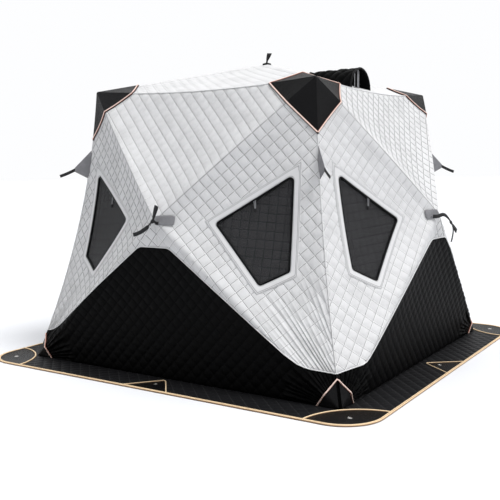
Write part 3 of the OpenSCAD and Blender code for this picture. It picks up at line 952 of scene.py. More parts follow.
class Ring:
    """A polygon's outline with rounded corners. The place at a margin g is
    middle + (radius + g) * direction. Each middle lies on the polygon moved in by the
    radius, and each direction points straight out."""

    def __init__(self, corners, radius, spacing=0.014, arc_steps=6):
        x, y = corners.T
        if (x * np.roll(y, -1) - y * np.roll(x, -1)).sum() < 0:
            corners = corners[::-1]
        after = np.roll(corners, -1, axis=0)
        along = unit(after - corners)
        out = np.stack([along[:, 1], -along[:, 0]], axis=1)
        before = np.roll(out, 1, axis=0)
        tip = (before + out) / (1 + (before * out).sum(1))[:, None]
        inner = corners - radius * tip
        middle, soft, sharp = [], [], []
        for i in range(len(corners)):
            t = np.linspace(0, 1, arc_steps + 1)[:, None]
            middle.append(np.repeat(inner[i:i + 1], len(t), axis=0))
            soft.append(unit(mix(before[i], out[i], t)))
            sharp.append(np.where(t < 0.5, mix(before[i], tip[i], 2 * t),
                                  mix(tip[i], out[i], 2 * t - 1)))
            end = inner[(i + 1) % len(corners)]
            steps = max(2, round(np.linalg.norm(end - inner[i]) / spacing))
            t = np.linspace(0, 1, steps + 1)[1:-1, None]
            middle.append(mix(inner[i], end, t))
            soft.append(np.repeat(out[i:i + 1], len(t), axis=0))
            sharp.append(soft[-1])
        self.middle, self.soft = np.concatenate(middle), np.concatenate(soft)
        self.sharp, self.radius, self.inner = np.concatenate(sharp), radius, inner

    def at(self, margin, mitre=0.0):
        """The ring's places at a margin, from round corners at mitre 0 to sharp ones at 1."""
        return self.middle + (self.radius + margin) * mix(self.soft, self.sharp, mitre)

    def beyond(self, x, y):
        """How far a place is outside the outline: its distance from the nearest side of the
        inner polygon, less the radius, and negative inside."""
        place = np.stack([x, y], axis=-1)
        start, end = self.inner, np.roll(self.inner, -1, axis=0)
        nearest = np.full(np.shape(x), np.inf)
        deepest = np.full(np.shape(x), -np.inf)
        for a, b in zip(start, end):
            side = b - a
            t = np.clip((place - a) @ side / (side @ side), 0, 1)[..., None]
            nearest = np.minimum(nearest, np.linalg.norm(place - a - t * side, axis=-1))
            outward = np.array([side[1], -side[0]]) / np.linalg.norm(side)
            deepest = np.maximum(deepest, (place - a) @ outward)
        return np.where(deepest > 0, nearest, deepest) - self.radius


WINDOW_CORNERS = WINDOW_SHARES @ np.stack([HUB, ROOF_CORNER, GROUND_CORNER])
WINDOW = Ring(np.stack(WALL.flat(WINDOW_CORNERS, 1), axis=1), WINDOW_R)
print("window ring has", len(WINDOW.middle), "points")

# %% [markdown]
# Each wall has four cloths: one above the hub, one at each side with a window, and the
# black one below. They share the wall's flat layout, so each is only a fence and an angle
# for its stitch lines. The puffs lie flat under the corner caps and the hub patch, which
# are sewn over them. A left cloth is the mirror image of a right one. Where the cloths are
# drawn together at the foot they are pleated, the front and back walls most.

# %% Wall cloths
CAP_CREASE = 0.18
CAP_CORNER = 0.18
CAP_EAVE = 0.19
CAP_ROOF = 0.24
HOLE_MARGIN = 0.028
CREASE_LONG = float(np.linalg.norm(ROOF_CORNER - HUB))
CREASE, LEFT_CREASE = WALL.turns[1], WALL.turns[4]
MIDDLE_DOWN = (WALL.turns[2] + WALL.turns[3]) / 2
PATCH_MIDDLES = (0.060, -0.065)
HUB_PATCH = (0.060, 0.029)
FEET = [WALL.spoke(n, WALL.reach_at(WALL.turns[n])) for n in (2, 3)]
PLEAT_FOCUS = FEET[0] * 1.16
SIDE_PLEATS = [((30, 2.4), (40, 1.8)), ((46, 0.35), None)]
GATHERS = (9, 4.0)
RIPPLE = 0.0035


def wall_calm(patch_middle):
    """A function that is 0 under the caps and the hub patch and 1 where the puffs are free."""
    def calm(x, y):
        along = np.maximum(x, x * np.cos(CREASE) + y * np.sin(CREASE))
        from_cap = CREASE_LONG * (1 - CAP_CREASE) - along
        from_window = WINDOW.beyond(x, y) - BAND_END
        point = WALL.place(x, y)
        from_patch = np.maximum(abs(point[..., 0] - patch_middle) - HUB_PATCH[0],
                                abs(point[..., 2] - HUB_H) - HUB_PATCH[1])
        return (smooth(from_cap, -0.005, 0.012) * smooth(from_patch, -0.004, 0.018)
                * smooth(from_window, -0.008, 0.010) * smooth(np.hypot(x, y), 0.010, 0.040))

    return calm


def seen_from(point, x, y):
    """The angle and the distance of flat places as seen from a point."""
    dx, dy = x - point[..., 0], y - point[..., 1]
    return np.arctan2(dy, dx), np.hypot(dx, dy)


def side_pleats(count, depth):
    """Pleats that fan out from beyond the right foot. Their phase is the angle about that
    point, and they are deepest along the corner's lower half and fade past the window."""
    def pleats(x, y):
        angle, away = seen_from(PLEAT_FOCUS, x, y)
        uneven = angle + 0.008 * np.sin(5 * away) + 0.006 * np.sin(41 * angle)
        fade = smooth(away, 1.15, 0.45) * smooth(WINDOW.beyond(x, y), 0.04, 0.09)
        patchy = 0.6 + 0.4 * np.sin(23 * angle + 3 * away)
        return count * uneven, depth * fade * patchy

    return pleats


def foot_gathers(x, y):
    """Gathers above both feet: the phase is the angle about the foot, and they fade out
    within 0.4 m of it."""
    count, depth = GATHERS
    right_nearer = seen_from(FEET[0], x, y)[1] < seen_from(FEET[1], x, y)[1]
    angle, away = seen_from(np.where(right_nearer[..., None], *FEET), x, y)
    return count * angle + 0.4 * np.sin(count * angle), depth * smooth(away, 0.40, 0.20)


def foot_ripple(x, y):
    """Wide, soft waves of the black cloth above each foot, a sine of the angle about it."""
    total = 0
    for foot in FEET:
        angle, away = seen_from(foot, x, y)
        total = total + np.sin(20 * angle) * smooth(away, 0.60, 0.18) * smooth(away, 0.05, 0.15)
    return RIPPLE * total


def side_fence(shift):
    """The cloth to the right of the hub, round the window and down to the black cloth."""
    return all_of(WALL.wedge(CREASE, MIDDLE_DOWN), WALL.inside_rim,
                  lambda x, y: -below_black_edge(x, y, shift),
                  lambda x, y: WINDOW.beyond(x, y) - HOLE_MARGIN)


def wall_cloths(kind):
    """The four cloths of the front wall (kind 0) or of a side wall (kind 1)."""
    shift, middle = SHIFTS[kind], PATCH_MIDDLES[kind]

    def cut(fence, turn, first, last, patch_middle=middle, **folds):
        """One cloth, whose fence lies between two angles."""
        return quilted(WALL.place, fence, turn, WALL.rim_places(first, last),
                       calm=wall_calm(patch_middle), **folds)

    right, left = [side_pleats(*pleats) if pleats else None for pleats in SIDE_PLEATS[kind]]
    above = all_of(WALL.wedge(0, CREASE), WALL.inside_rim)
    below = all_of(lambda x, y: below_black_edge(x, y, shift), WALL.inside_rim)
    return {"upper": cut(above, CREASE / 2 + np.pi / 4, 0, CREASE),
            "right": cut(side_fence(shift), CREASE, CREASE, MIDDLE_DOWN, pleats=right),
            "left": cut(side_fence(-shift), CREASE, CREASE, MIDDLE_DOWN, -middle,
                        pleats=left).mirrored(),
            "black": cut(below, MIDDLE_DOWN + np.pi / 4, CREASE, LEFT_CREASE,
                         ripple=foot_ripple, pleats=foot_gathers)}


cloths = [wall_cloths(0), wall_cloths(1)]
for turns, wall in enumerate(WALLS):
    for part, cloth in cloths[turns % 2].items():
        black = part == "black"
        add_sheet(f"{wall}_{part}_cloth", cloth.turned(turns),
                  BLACK_QUILT if black else LIGHT_QUILT,
                  [f"{wall}_{'lower' if black else part}_panel"])

# %% [markdown]
# The roof is made the same way from its own hub. The panel towards +X has a hole for the
# vent, under the hood.

# %% Roof cloths
VENT_FROM = 0.480
VENT_TO = 0.590
VENT_HALF = 0.080
ROOF_LONG = ROOF_CLOTH.reach_at(ROOF_CLOTH.turns[1])


def outside_vent(x, y):
    """How far a place of the first panel, towards +X, is outside the vent's hole."""
    middle = ROOF_CLOTH.turns[1] / 2
    along = x * np.cos(middle) + y * np.sin(middle)
    across = y * np.cos(middle) - x * np.sin(middle)
    return np.maximum.reduce([VENT_FROM - along, along - VENT_TO, abs(across) - VENT_HALF])


def roof_calm(x, y):
    """0 under the corner caps and the roof hub's patch."""
    spokes = [x * np.cos(t) + y * np.sin(t) for t in ROOF_CLOTH.turns[:4]]
    from_cap = ROOF_LONG * (1 - CAP_ROOF) - np.maximum.reduce(spokes)
    return smooth(from_cap, -0.005, 0.012) * smooth(np.hypot(x, y), 0.05, 0.07)


for number, wall in enumerate(["right", "front", "left", "back"]):
    first, last = ROOF_CLOTH.turns[number:number + 2]
    parts = [ROOF_CLOTH.wedge(first, last), ROOF_CLOTH.inside_rim, outside_vent]
    fence = all_of(*parts[:2]) if number else all_of(*parts)
    cloth = quilted(ROOF_CLOTH.place, fence, (first + last) / 2 + np.pi / 4,
                    ROOF_CLOTH.rim_places(first, last), calm=roof_calm)
    add_sheet(f"{wall}_roof_cloth", cloth, LIGHT_QUILT, [f"{wall}_roof_panel"])

# %% [markdown]
# Seams are hidden under piping: a thin cord in a sleeve, sewn between the two cloths. Each
# is a round outline carried along the seam's own line. A pale one follows the black
# cloth's edge, found on every thread by halving the stretch in which the edge must lie.

# %% Piping on the seams
def edge_line(shift, count=190):
    """Flat places along the black cloth's edge. On each thread from the hub the edge is
    found by bisection between the hub and the rim."""
    below = black_height(WALL.rim[:, 0], shift) - WALL.rim[:, 2]
    wet = np.flatnonzero(below > 0)
    first = np.interp(0, below[wet[0] - 1:wet[0] + 1], WALL.angle[wet[0] - 1:wet[0] + 1])
    after = slice(wet[-1], wet[-1] + 2)
    last = np.interp(0, -below[after], WALL.angle[after])
    angle = np.linspace(first, last, count)
    near, far = np.zeros(count), WALL.reach_at(angle)
    for _ in range(30):
        half = (near + far) / 2
        under = below_black_edge(*polar(angle, half).T, shift) > 0
        near, far = np.where(under, near, half), np.where(under, half, far)
    return polar(angle, far).T


def along_cloth(cloth, x, y, lift, radius):
    """A round cord along flat places, upright on the cloth."""
    path = cloth.place(x, y, lift)
    return round_cord(path, cloth.place(x, y, lift + 0.001) - path, radius)


def corner_piping(low, high, radius, steps=60):
    """Piping along a corner seam, between two shares of its height."""
    path = corner_seam(np.linspace(low, high, steps))
    return round_cord(path, np.array([1.0, -1.0, 0.0]), radius)


PIPING_R = 0.0032
FOOT_HIGH = 0.158
black_share = BLACK_SIDE / EAVE_H
edges = [along_cloth(WALL, *edge_line(shift), 0.0008, PIPING_R) for shift in SHIFTS]
edge_piping = edges[0] + edges[0].turned(2) + edges[1].turned(1) + edges[1].turned(3)
eave_path = eave_seam(np.linspace(CAP_EAVE - 0.01, 1.01 - CAP_EAVE, 80))
eave_piping = round_cord(eave_path, np.array([0, -1.0, 1.0]), PIPING_R)
light_corner = corner_piping(black_share, 1 - CAP_CORNER, PIPING_R)
black_corner = corner_piping(FOOT_HIGH / EAVE_H, black_share, PIPING_R * 1.2, 6)
cap_corner = corner_piping(1 - CAP_CORNER, 0.995, PIPING_R * 1.3, 16)
add_piece("edge_piping", edge_piping, PALE_PIPING)
add_piece("eave_piping", eave_piping.on_all_walls(), PALE_PIPING)
add_piece("corner_piping", light_corner.on_all_walls(), PALE_PIPING)
add_piece("black_corner_piping", black_corner.on_all_walls(), BLACK_CLOTH)
add_piece("cap_corner_piping", cap_corner.on_all_walls(), BLACK_CLOTH)

# %% [markdown]
# A window is built up in layers, from the inside out: a quilted cover that closes it
# against the cold, the smoked film, a black binding round the film's edge, and a smooth
# light band, padded and stitched, that ties the binding to the wall. Binding and band are
# one closed profile each, carried round the window's ring. A cord loop with a toggle hangs
# from the middle of the window's upper edge.

# %% Windows
COVER_CELL = 0.053
COVER_LAP = 0.024
COVER_LIFTS = (-0.0125, -0.0088, -0.0145, 0.0)
FILM_LAP = 0.004
FILM_LIFTS = (-0.0030, -0.0030, -0.0045, 0.0)
BINDING = [(-0.003, -0.006, 0), (-0.004, -0.002, 0), (-0.003, 0.003, 0), (0.001, 0.0052, 0),
           (0.006, 0.0056, 0), (0.010, 0.0036, 0), (0.011, -0.001, 0), (0.010, -0.006, 0)]
BAND = [(0.009, -0.003, 0), (0.009, 0.0030, 0), (0.012, 0.0042, 0), (0.021, 0.0050, 0.3),
        (0.032, 0.0054, 0.6), (0.043, 0.0050, 0.9), (0.049, 0.0040, 1), (0.052, 0.0012, 1),
        (0.052, -0.0030, 1)]


def ring_band(profile):
    """A closed profile of (margin, lift, mitre) carried round the window. The cloth
    coordinates run along the ring and across the profile, in metres."""
    places = [WINDOW.at(margin, mitre) for margin, _, mitre in profile]
    points = [WALL.place(p[:, 0], p[:, 1], row[1]) for p, row in zip(places, profile)]
    steps = np.linalg.norm(np.diff(places[0], axis=0, prepend=places[0][-1:]), axis=1)
    round_it = np.cumsum(steps)
    across = np.array([row[0] for row in profile])
    cloth = np.stack(np.broadcast_arrays(round_it[:, None], across[None]), axis=-1)
    n, m = len(places[0]), len(profile)
    return Shape(np.stack(points, axis=1), [grid_faces(n, m, True, True)], cloth.reshape(-1, 2))


PULL_UP = np.array([0.28, -0.93, 0.2])
PULL_DOWN = np.array([0.12, -0.03, -1.0])
PULL_CORD_R = 0.0026
PULL_LONG = 0.050
PULL_HALF = 0.005
TOGGLE_AT = 0.058
TOGGLE_HALF = 0.011
TOGGLE_END_R = 0.0045
TOGGLE_SWELL = 0.0050


def pull_loop():
    """The cord loop and toggle on the film's upper edge: a U of thin cord and a barrel whose
    radius follows a circle's arc along its length."""
    top = WALL.place(*WALL.flat(mix(*WINDOW_CORNERS[:2], 0.5), 1), 0.004)
    a = np.linspace(0, np.pi, 15)
    drop = PULL_LONG * np.sin(a) ** 0.5
    path = (top + PULL_HALF * np.cos(a)[:, None] * unit(ROOF_CORNER - HUB)
            + drop[:, None] * PULL_DOWN)
    t = np.linspace(-1, 1, 9)
    barrel = top + (TOGGLE_AT + TOGGLE_HALF * t)[:, None] * PULL_DOWN
    size = (TOGGLE_END_R + TOGGLE_SWELL * np.sqrt(1 - 0.9 * t * t))[:, None, None]
    return (swept(path, PULL_UP, circle(PULL_CORD_R, 6)),
            swept(barrel, PULL_UP, circle(1.0, 10) * size))


def both_sides(shape):
    """The right window's piece and its mirror image on the left."""
    return shape + shape.mirrored()


level_turn = WALL.turns[1] + np.arctan2(WALL.bases[1][1][0], WALL.bases[1][0][0])
cover = quilted(WALL.place, lambda x, y: COVER_LAP - WINDOW.beyond(x, y), level_turn,
                WINDOW.at(COVER_LAP, 1), cell=COVER_CELL, lifts=COVER_LIFTS)
film = quilted(WALL.place, lambda x, y: FILM_LAP - WINDOW.beyond(x, y), CREASE,
               WINDOW.at(FILM_LAP, 1), lifts=FILM_LIFTS)
cord, toggle = pull_loop()
WINDOW_TRIM = [("bindings", ring_band(BINDING), BLACK_CLOTH, "black_fabric", 50),
               ("bands", ring_band(BAND), WINDOW_BAND, "light_quilt", 30),
               ("pulls", cord, GREY_CLOTH, "webbing", 50),
               ("toggles", toggle, BLACK_WEBBING, "webbing", 50)]
for turns, wall in enumerate(WALLS):
    for side in ("right", "left"):
        sheets = [sheet if side == "right" else sheet.mirrored() for sheet in (film, cover)]
        add_sheet(f"{wall}_{side}_film", sheets[0].turned(turns), SMOKED_FILM,
                  [f"{wall}_windows"])
        add_sheet(f"{wall}_{side}_cover", sheets[1].turned(turns), COVER_QUILT,
                  ["window_covers"])
    for part, shape, paint, slot_name, sharp in WINDOW_TRIM:
        add_piece(f"{wall}_window_{part}", both_sides(shape).turned(turns), paint,
                  sharp=sharp)

# %% [markdown]
# Where three poles meet in a roof corner, and where two meet at the ground, the cloth is
# doubled by a smooth black cap. A cap is a patch of the same flat layout, from the corner
# to a bent edge, so it folds over the poles as the cloth does. Peach piping is sewn just
# inside its edge.

# %% Corner caps and feet
CAP_TOP = 0.0045
CAP_UNDER = 0.0010
CAP_PIPING_IN = 0.035
PEACH_R = 0.0050


def rim_place(cloth, number, share):
    """The flat place at a share of one rim's points."""
    index = number * RIM_STEPS + share * (RIM_STEPS - 1)
    every = np.arange(len(cloth.angle))
    angle, reach = np.interp(index, every, cloth.angle), np.interp(index, every, cloth.reach)
    return np.array([reach * np.cos(angle), reach * np.sin(angle)])


def corner_patch(cloth, number, ends, shares, most=1.0, steps=12):
    """Flat places of a patch that narrows from its bent edge to a corner. The edge runs
    through ends, evenly between each two, and shares go from the edge at 0 to the corner
    at 1. Places past the rim are drawn back on to it."""
    corner = cloth.spoke(number, cloth.reach_at(cloth.turns[number]))
    parts = [mix(a, b, np.linspace(0, 1, steps + 1)[:, None]) for a, b in zip(ends, ends[1:])]
    edge = np.concatenate([parts[0]] + [p[1:] for p in parts[1:]])
    flat = mix(edge[None], corner, np.asarray(shares)[:, None, None])
    x, y = flat[..., 0], flat[..., 1]
    reach = cloth.reach_at(cloth.angle_of(x, y))
    far = np.hypot(x, y)
    wanted = np.minimum(far, most * reach)
    outer = np.isin(np.arange(len(edge)), (0, len(edge) - 1))
    wanted = np.where(outer & (far > 0.9 * reach), most * reach, wanted)
    return x * wanted / far, y * wanted / far


def patch_shape(cloth, number, ends, most=1.0):
    """The patch as a thin closed sheet, from its edge almost to the corner."""
    x, y = corner_patch(cloth, number, ends, np.linspace(0, 0.99, 16), most)
    return grid_sheet(cloth.place(x, y, CAP_TOP), cloth.place(x, y, CAP_UNDER), x, y, -1)


def patch_piping(cloth, number, ends, most=1.0):
    """Piping a little inside the patch's edge."""
    x, y = corner_patch(cloth, number, ends, [CAP_PIPING_IN], most)
    return along_cloth(cloth, x[0], y[0], CAP_TOP + 0.001, PEACH_R)


cap_ends = [rim_place(WALL, 0, 1 - CAP_EAVE), WALL.spoke(1, CREASE_LONG * (1 - CAP_CREASE)),
            rim_place(WALL, 1, CAP_CORNER)]
roof_ends = [rim_place(ROOF_CLOTH, 0, 1 - CAP_EAVE),
             ROOF_CLOTH.spoke(1, ROOF_LONG * (1 - CAP_ROOF)), rim_place(ROOF_CLOTH, 1, CAP_EAVE)]
FOOT_WIDE = 0.150
FOOT_LOW = 0.991
FOOT_PIPING_END = 0.965
foot_ends = [rim_place(WALL, 1, 1 - FOOT_HIGH / EAVE_H), rim_place(WALL, 2, FOOT_WIDE / (2 * BASE))]


def across_corner(shape):
    """A front wall piece and its mirror image on the other wall of the right corner."""
    return shape + shape.mirrored().turned(1)


caps = (across_corner(patch_shape(WALL, 1, cap_ends)) + patch_shape(ROOF_CLOTH, 1, roof_ends))
cap_piping = across_corner(patch_piping(WALL, 1, cap_ends)) + patch_piping(ROOF_CLOTH, 1, roof_ends)
feet = across_corner(patch_shape(WALL, 2, foot_ends, FOOT_LOW))
arm = mix(*foot_ends, np.linspace(0, FOOT_PIPING_END, 24)[:, None])
arm_front, arm_up = [WALL.place(arm[:, 0], arm[:, 1], lift) for lift in (0.006, 0.007)]
arm_side, side_up = [quarter_turns(flip_x(p), 1) for p in (arm_front, arm_up)]
path, above = [np.concatenate([a[::-1], b[1:]]) for a, b in ((arm_front, arm_side),
                                                              (arm_up, side_up))]
foot_piping = round_cord(path, above - path, PEACH_R)
add_piece("roof_caps", caps.on_all_walls(), BLACK_CLOTH, ["roof_corner_caps"],
          sharp=25)
add_piece("cap_piping", cap_piping.on_all_walls(), PEACH_PIPING)
add_piece("feet", feet.on_all_walls(), BLACK_CLOTH, ["corner_feet"])
add_piece("foot_piping", foot_piping.on_all_walls(), PEACH_PIPING)

# %% [markdown]
# The skirt lies on the ice all round, to be covered with snow or pegged down. It is quilted
# black cloth with a peach binding round its edge, and smooth patches where the grommets
# are. Its fence is the same idea again: a rounded square outside, the wall's foot inside,
# and the grommet holes.

# %% Skirt
skirt_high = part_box("front_skirt")[1]
SKIRT_OUT = skirt_high[0]
SKIRT_IN = abs(skirt_high[1])
SKIRT_R = 0.240
SKIRT_LIFTS = (0.0025, 0.0080, 0.0004, 0.0)
PATCH_TOP = 0.0058
PATCH_LIFTS = (PATCH_TOP, PATCH_TOP, 0.0020, 0.0)
PATCH_CELL = 0.024
QUILT_HOLE_R = 0.014
HOLE_R = 0.007
CORNER_HOLE = 1.305
MIDDLE_HOLE = 1.340
HOLES = [(0, -MIDDLE_HOLE), (CORNER_HOLE, -CORNER_HOLE), (-CORNER_HOLE, -CORNER_HOLE)]


def lay_flat(x, y, lift=0.0):
    """Places on the ground, lifted."""
    return np.stack(np.broadcast_arrays(x, y, lift), axis=-1)


def inside_skirt(x, y):
    """How far a place is inside the skirt's outline, a square with round corners."""
    over_x, over_y = abs(x) - (SKIRT_OUT - SKIRT_R), abs(y) - (SKIRT_OUT - SKIRT_R)
    past = np.hypot(np.maximum(over_x, 0), np.maximum(over_y, 0))
    return SKIRT_R - np.where(past > 0, past, np.maximum(over_x, over_y))


def outside_holes(x, y, margin=HOLE_R):
    """How far a place is from the nearest grommet hole's edge."""
    return np.minimum.reduce([np.hypot(x - a, y - b) for a, b in HOLES]) - margin


CORNER_PATCH_END = 1.100
CORNER_PATCH_MID = 1.212
MIDDLE_PATCH_TOP = -1.252
MIDDLE_PATCH_HALF = 0.168
TIP_R = 0.010
SKIRT_CORDS = {"edge_piping": (0.001, 0.0050, 0.0046),
               "inner_binding": (-0.0085, 0.0058, 0.0044)}
GROMMET_R = 0.0095
GROMMET_SECTION = np.array([
    (-0.0030, -0.0052), (-0.0022, -0.0052), (-0.0022, -0.0004), (0.0042, -0.0006),
    (0.0046, 0.0002), (0.0030, 0.0013), (0.0002, 0.0018), (-0.0022, 0.0012), (-0.0030, 0.0002),
])


def corner_arc():
    """Centre and radius of the arc that bounds a corner patch. It passes through the skirt's
    edge on both sides and, halfway, close to the foot."""
    low, middle = np.array([CORNER_PATCH_END, -SKIRT_OUT]), CORNER_PATCH_MID
    c = (low @ low - 2 * middle ** 2) / (2 * (low[0] - low[1]) - 4 * middle)
    return np.array([c, -c]), float(np.hypot(middle - c, middle - c))


ARC_CENTRE, ARC_R = corner_arc()


def in_corner_patch(x, y):
    """How far a place is inside the corner patches, on the corner side of their arcs."""
    return ARC_R - np.hypot(abs(x) - ARC_CENTRE[0], y - ARC_CENTRE[1])


def in_middle_patch(x, y):
    """How far a place is inside the triangle in the middle of a side."""
    slope = np.array([MIDDLE_PATCH_TOP + SKIRT_OUT, MIDDLE_PATCH_HALF])
    slope = slope / np.linalg.norm(slope)
    return -(abs(x) * slope[0] + (y - MIDDLE_PATCH_TOP) * slope[1])


def skirt_calm(x, y):
    """0 under the smooth patches."""
    return smooth(np.maximum(in_corner_patch(x, y), in_middle_patch(x, y)), 0.006, -0.010)


QUILT_PARTS = [inside_skirt, lambda x, y: -y - SKIRT_IN,
               lambda x, y: outside_holes(x, y, QUILT_HOLE_R)]
long_fence = all_of(*QUILT_PARTS)
short_fence = all_of(*QUILT_PARTS, lambda x, y: SKIRT_IN - abs(x))
corner_fence = all_of(in_corner_patch, inside_skirt, lambda x, y: np.maximum(x, -y) - SKIRT_IN,
                      lambda x, y: x, outside_holes)
middle_fence = all_of(in_middle_patch, inside_skirt, outside_holes)


def skirt_sheet(fence, half):
    """The quilted strip inside a fence, with stitch lines at half right angles."""
    ends = np.array([(-half, -SKIRT_OUT), (half, -SKIRT_OUT), (half, -SKIRT_IN),
                     (-half, -SKIRT_IN)])
    return quilted(lay_flat, fence, np.pi / 4, ends, lifts=SKIRT_LIFTS, calm=skirt_calm,
                   outside=1)


def skirt_patch(fence, ends):
    """A smooth patch on the skirt."""
    return quilted(lay_flat, fence, 0.0, np.array(ends), cell=PATCH_CELL, lifts=PATCH_LIFTS,
                   outside=1)


def skirt_edge(margin, height, radius):
    """Piping all round the skirt's outline, grown by a margin."""
    square = SKIRT_OUT * np.array([(1, -1), (1, 1), (-1, 1), (-1, -1)])
    flat = Ring(square, SKIRT_R, spacing=0.060, arc_steps=16).at(margin)
    return round_cord(lay_flat(*flat.T, height), UP, radius, closed=True)


def patch_lines():
    """Piping along one corner patch's arc, and over one middle patch's two sides, whose
    tip is rounded as a hyperbola."""
    low = np.arctan2(-SKIRT_OUT - ARC_CENTRE[1], CORNER_PATCH_END - ARC_CENTRE[0])
    high = np.arctan2(-CORNER_PATCH_END - ARC_CENTRE[1], SKIRT_OUT - ARC_CENTRE[0])
    a = np.linspace(np.mod(low, 2 * np.pi), np.mod(high, 2 * np.pi), 40)
    corner = lay_flat(*(ARC_CENTRE + polar(a, ARC_R)).T, PATCH_TOP)
    x = np.linspace(-MIDDLE_PATCH_HALF, MIDDLE_PATCH_HALF, 41)
    slope = (SKIRT_OUT + MIDDLE_PATCH_TOP) / MIDDLE_PATCH_HALF
    y = MIDDLE_PATCH_TOP - slope * (np.hypot(x, TIP_R) - TIP_R)
    middle = lay_flat(x, y, PATCH_TOP)
    return round_cord(corner, UP, PEACH_R * 1.2) + round_cord(middle, UP, PEACH_R * 0.8)


def grommet(x, y):
    """A flanged metal ring: one section, from the barrel's foot out over the flange and
    back, carried round the hole."""
    a = np.linspace(0, 2 * np.pi, 40, endpoint=False)
    path = lay_flat(x + GROMMET_R * np.cos(a), y + GROMMET_R * np.sin(a), PATCH_TOP)
    return swept(path, UP, GROMMET_SECTION, closed=True)


long_strip, short_strip = skirt_sheet(long_fence, SKIRT_OUT), skirt_sheet(short_fence, SKIRT_IN)
corner_piece = skirt_patch(corner_fence, [(CORNER_PATCH_END, -SKIRT_OUT),
                                          (SKIRT_OUT, -CORNER_PATCH_END)])
middle_piece = skirt_patch(middle_fence, [(-MIDDLE_PATCH_HALF, -SKIRT_OUT),
                                          (MIDDLE_PATCH_HALF, MIDDLE_PATCH_TOP)])
for turns, wall in enumerate(WALLS):
    strip = (short_strip if turns % 2 else long_strip).turned(turns)
    add_sheet(f"{wall}_skirt_cloth", strip, SKIRT_QUILT, [f"{wall}_skirt"])
    for part, piece in (("corner", corner_piece), ("middle", middle_piece)):
        add_sheet(f"{wall}_skirt_{part}_patch", piece.turned(turns), BLACK_CLOTH)
add_piece("skirt_patch_piping", patch_lines().on_all_walls(), CREAM_PIPING)
for part, cord in SKIRT_CORDS.items():
    add_piece(f"skirt_{part}", skirt_edge(*cord), CREAM_PIPING)
grommets = grommet(0, -MIDDLE_HOLE) + grommet(CORNER_HOLE, -CORNER_HOLE)
add_piece("grommets", grommets.on_all_walls(), PLATED_METAL, sharp=35)

# %% [markdown]
# Beside each hub a smooth grey patch is sewn over the seams, and the strap's pad on it. The
# patch is drawn as seen from the front, as a place (dx, dz) beside the hub. Every thread of
# the wall goes straight from the hub, so the depth there is the distance times the slope
# of the thread in that direction. Three sines give the small folds that the strap pulls.

# %% Hub patches
PATCH_LIFT = 0.0050
PATCH_FOLD = 0.0012
PATCH_THIN = 0.0025
PATCH_BEHIND = 0.0040
PAD = (0.026, 0.013)


def on_threads(dx, dz):
    """The wall's point at dx to the right of the hub and dz above it."""
    ahead = unit(WALL.rim - HUB)
    way = np.arctan2(ahead[:, 2], ahead[:, 0])
    slope = ahead[:, 1] / np.hypot(ahead[:, 0], ahead[:, 2])
    depth = np.hypot(dx, dz) * np.interp(np.arctan2(dz, dx), way, slope, period=2 * np.pi)
    return HUB + np.stack([dx, depth, dz], axis=-1)


def hub_patch(middle):
    """A rectangle with softly rounded corners, thin at its edge."""
    s, t = np.meshgrid(np.linspace(-1, 1, 31), np.linspace(-1, 1, 17), indexing="ij")
    dx = middle + HUB_PATCH[0] * s * (1 - 0.05 * t ** 4)
    dz = HUB_PATCH[1] * t * (1 - 0.12 * s ** 6)
    folds = (np.sin(260 * dx + 90 * dz) * 0.4 + np.sin(170 * dz - 60 * dx + 1) * 0.5
             + np.sin(420 * dx - 300 * dz + 2) * 0.25)
    edge = np.maximum(abs(s), abs(t)) ** 6
    swell = PATCH_LIFT + PATCH_FOLD * folds * (1 - edge) - PATCH_THIN * edge
    base = on_threads(dx, dz)
    return grid_sheet(base - swell[..., None] * np.array([0, 1.0, 0]),
                      base + np.array([0, PATCH_BEHIND, 0]), dx, dz)


def strap_pad(root):
    """The small stitched block that the strap leaves from."""
    path = root + np.array([[0, 0.012, 0], [0, 0.006, 0], [0, 0.0, 0]])
    return swept(path, UP, ribbon(*PAD))


for turns, wall in enumerate(WALLS):
    root = STRAPS[turns % 2][0][0]
    add_piece(f"{wall}_hub_patch", hub_patch(PATCH_MIDDLES[turns % 2]).turned(turns), GREY_CLOTH,
              ["hub_patches"], sharp=80)
    add_piece(f"{wall}_strap_pad", strap_pad(root).turned(turns), GREY_CLOTH)

# %% [markdown]
# The vent's hood is a half cone of the black quilt, sewn to the roof along its foot and
# open at its wide end. A cone lies flat like a wall does, so it gets its own flat layout,
# with its mouth cut into short arcs so that the layout unrolls them truly.

# %% Vent hood
HOOD_END = 0.750
HOOD_APEX = 0.3047
HOOD_W = 0.150
HOOD_H = 0.140
HOOD_LIFTS = (-0.0030, 0.0050, -0.0090, -0.0020)
HOOD_RIM_R = 0.0065
MOUTH_ARCS = 6
PROP_T = 0.003
PROP_SUNK = 0.004
PROP_BELOW = 0.014
PROPS = [(-0.062, 0.012, 0.735), (0.004, 0.030, 0.730)]


def roof_slope(distance):
    """The roof's height at a distance from its hub, along the middle of a panel."""
    middle = eave_seam(0.5)
    return PEAK[2] + (middle[2] - PEAK[2]) * distance / abs(middle[1])


def mouth(angle):
    """The hood's mouth, half an ellipse over the roof: (w cos a, h sin a)."""
    return np.stack([HOOD_W * np.cos(angle), 0 * angle - HOOD_END,
                     roof_slope(HOOD_END) + HOOD_H * np.sin(angle)], axis=-1)


arc_ends = np.linspace(0, np.pi, MOUTH_ARCS + 1)
HOOD = Cloth(np.array([0, -HOOD_APEX, roof_slope(HOOD_APEX)]),
             *[mouth(np.linspace(a, b, 12)) for a, b in zip(arc_ends, arc_ends[1:])])


def hood_sag(x, y):
    """Slow wrinkles where the cloth is slack, none along the mouth."""
    folds = np.sin(38 * x + 21 * y) + 0.7 * np.sin(55 * y - 30 * x + 1)
    return 0.0022 * folds * smooth(HOOD.inside_rim(x, y), 0.0, 0.12)


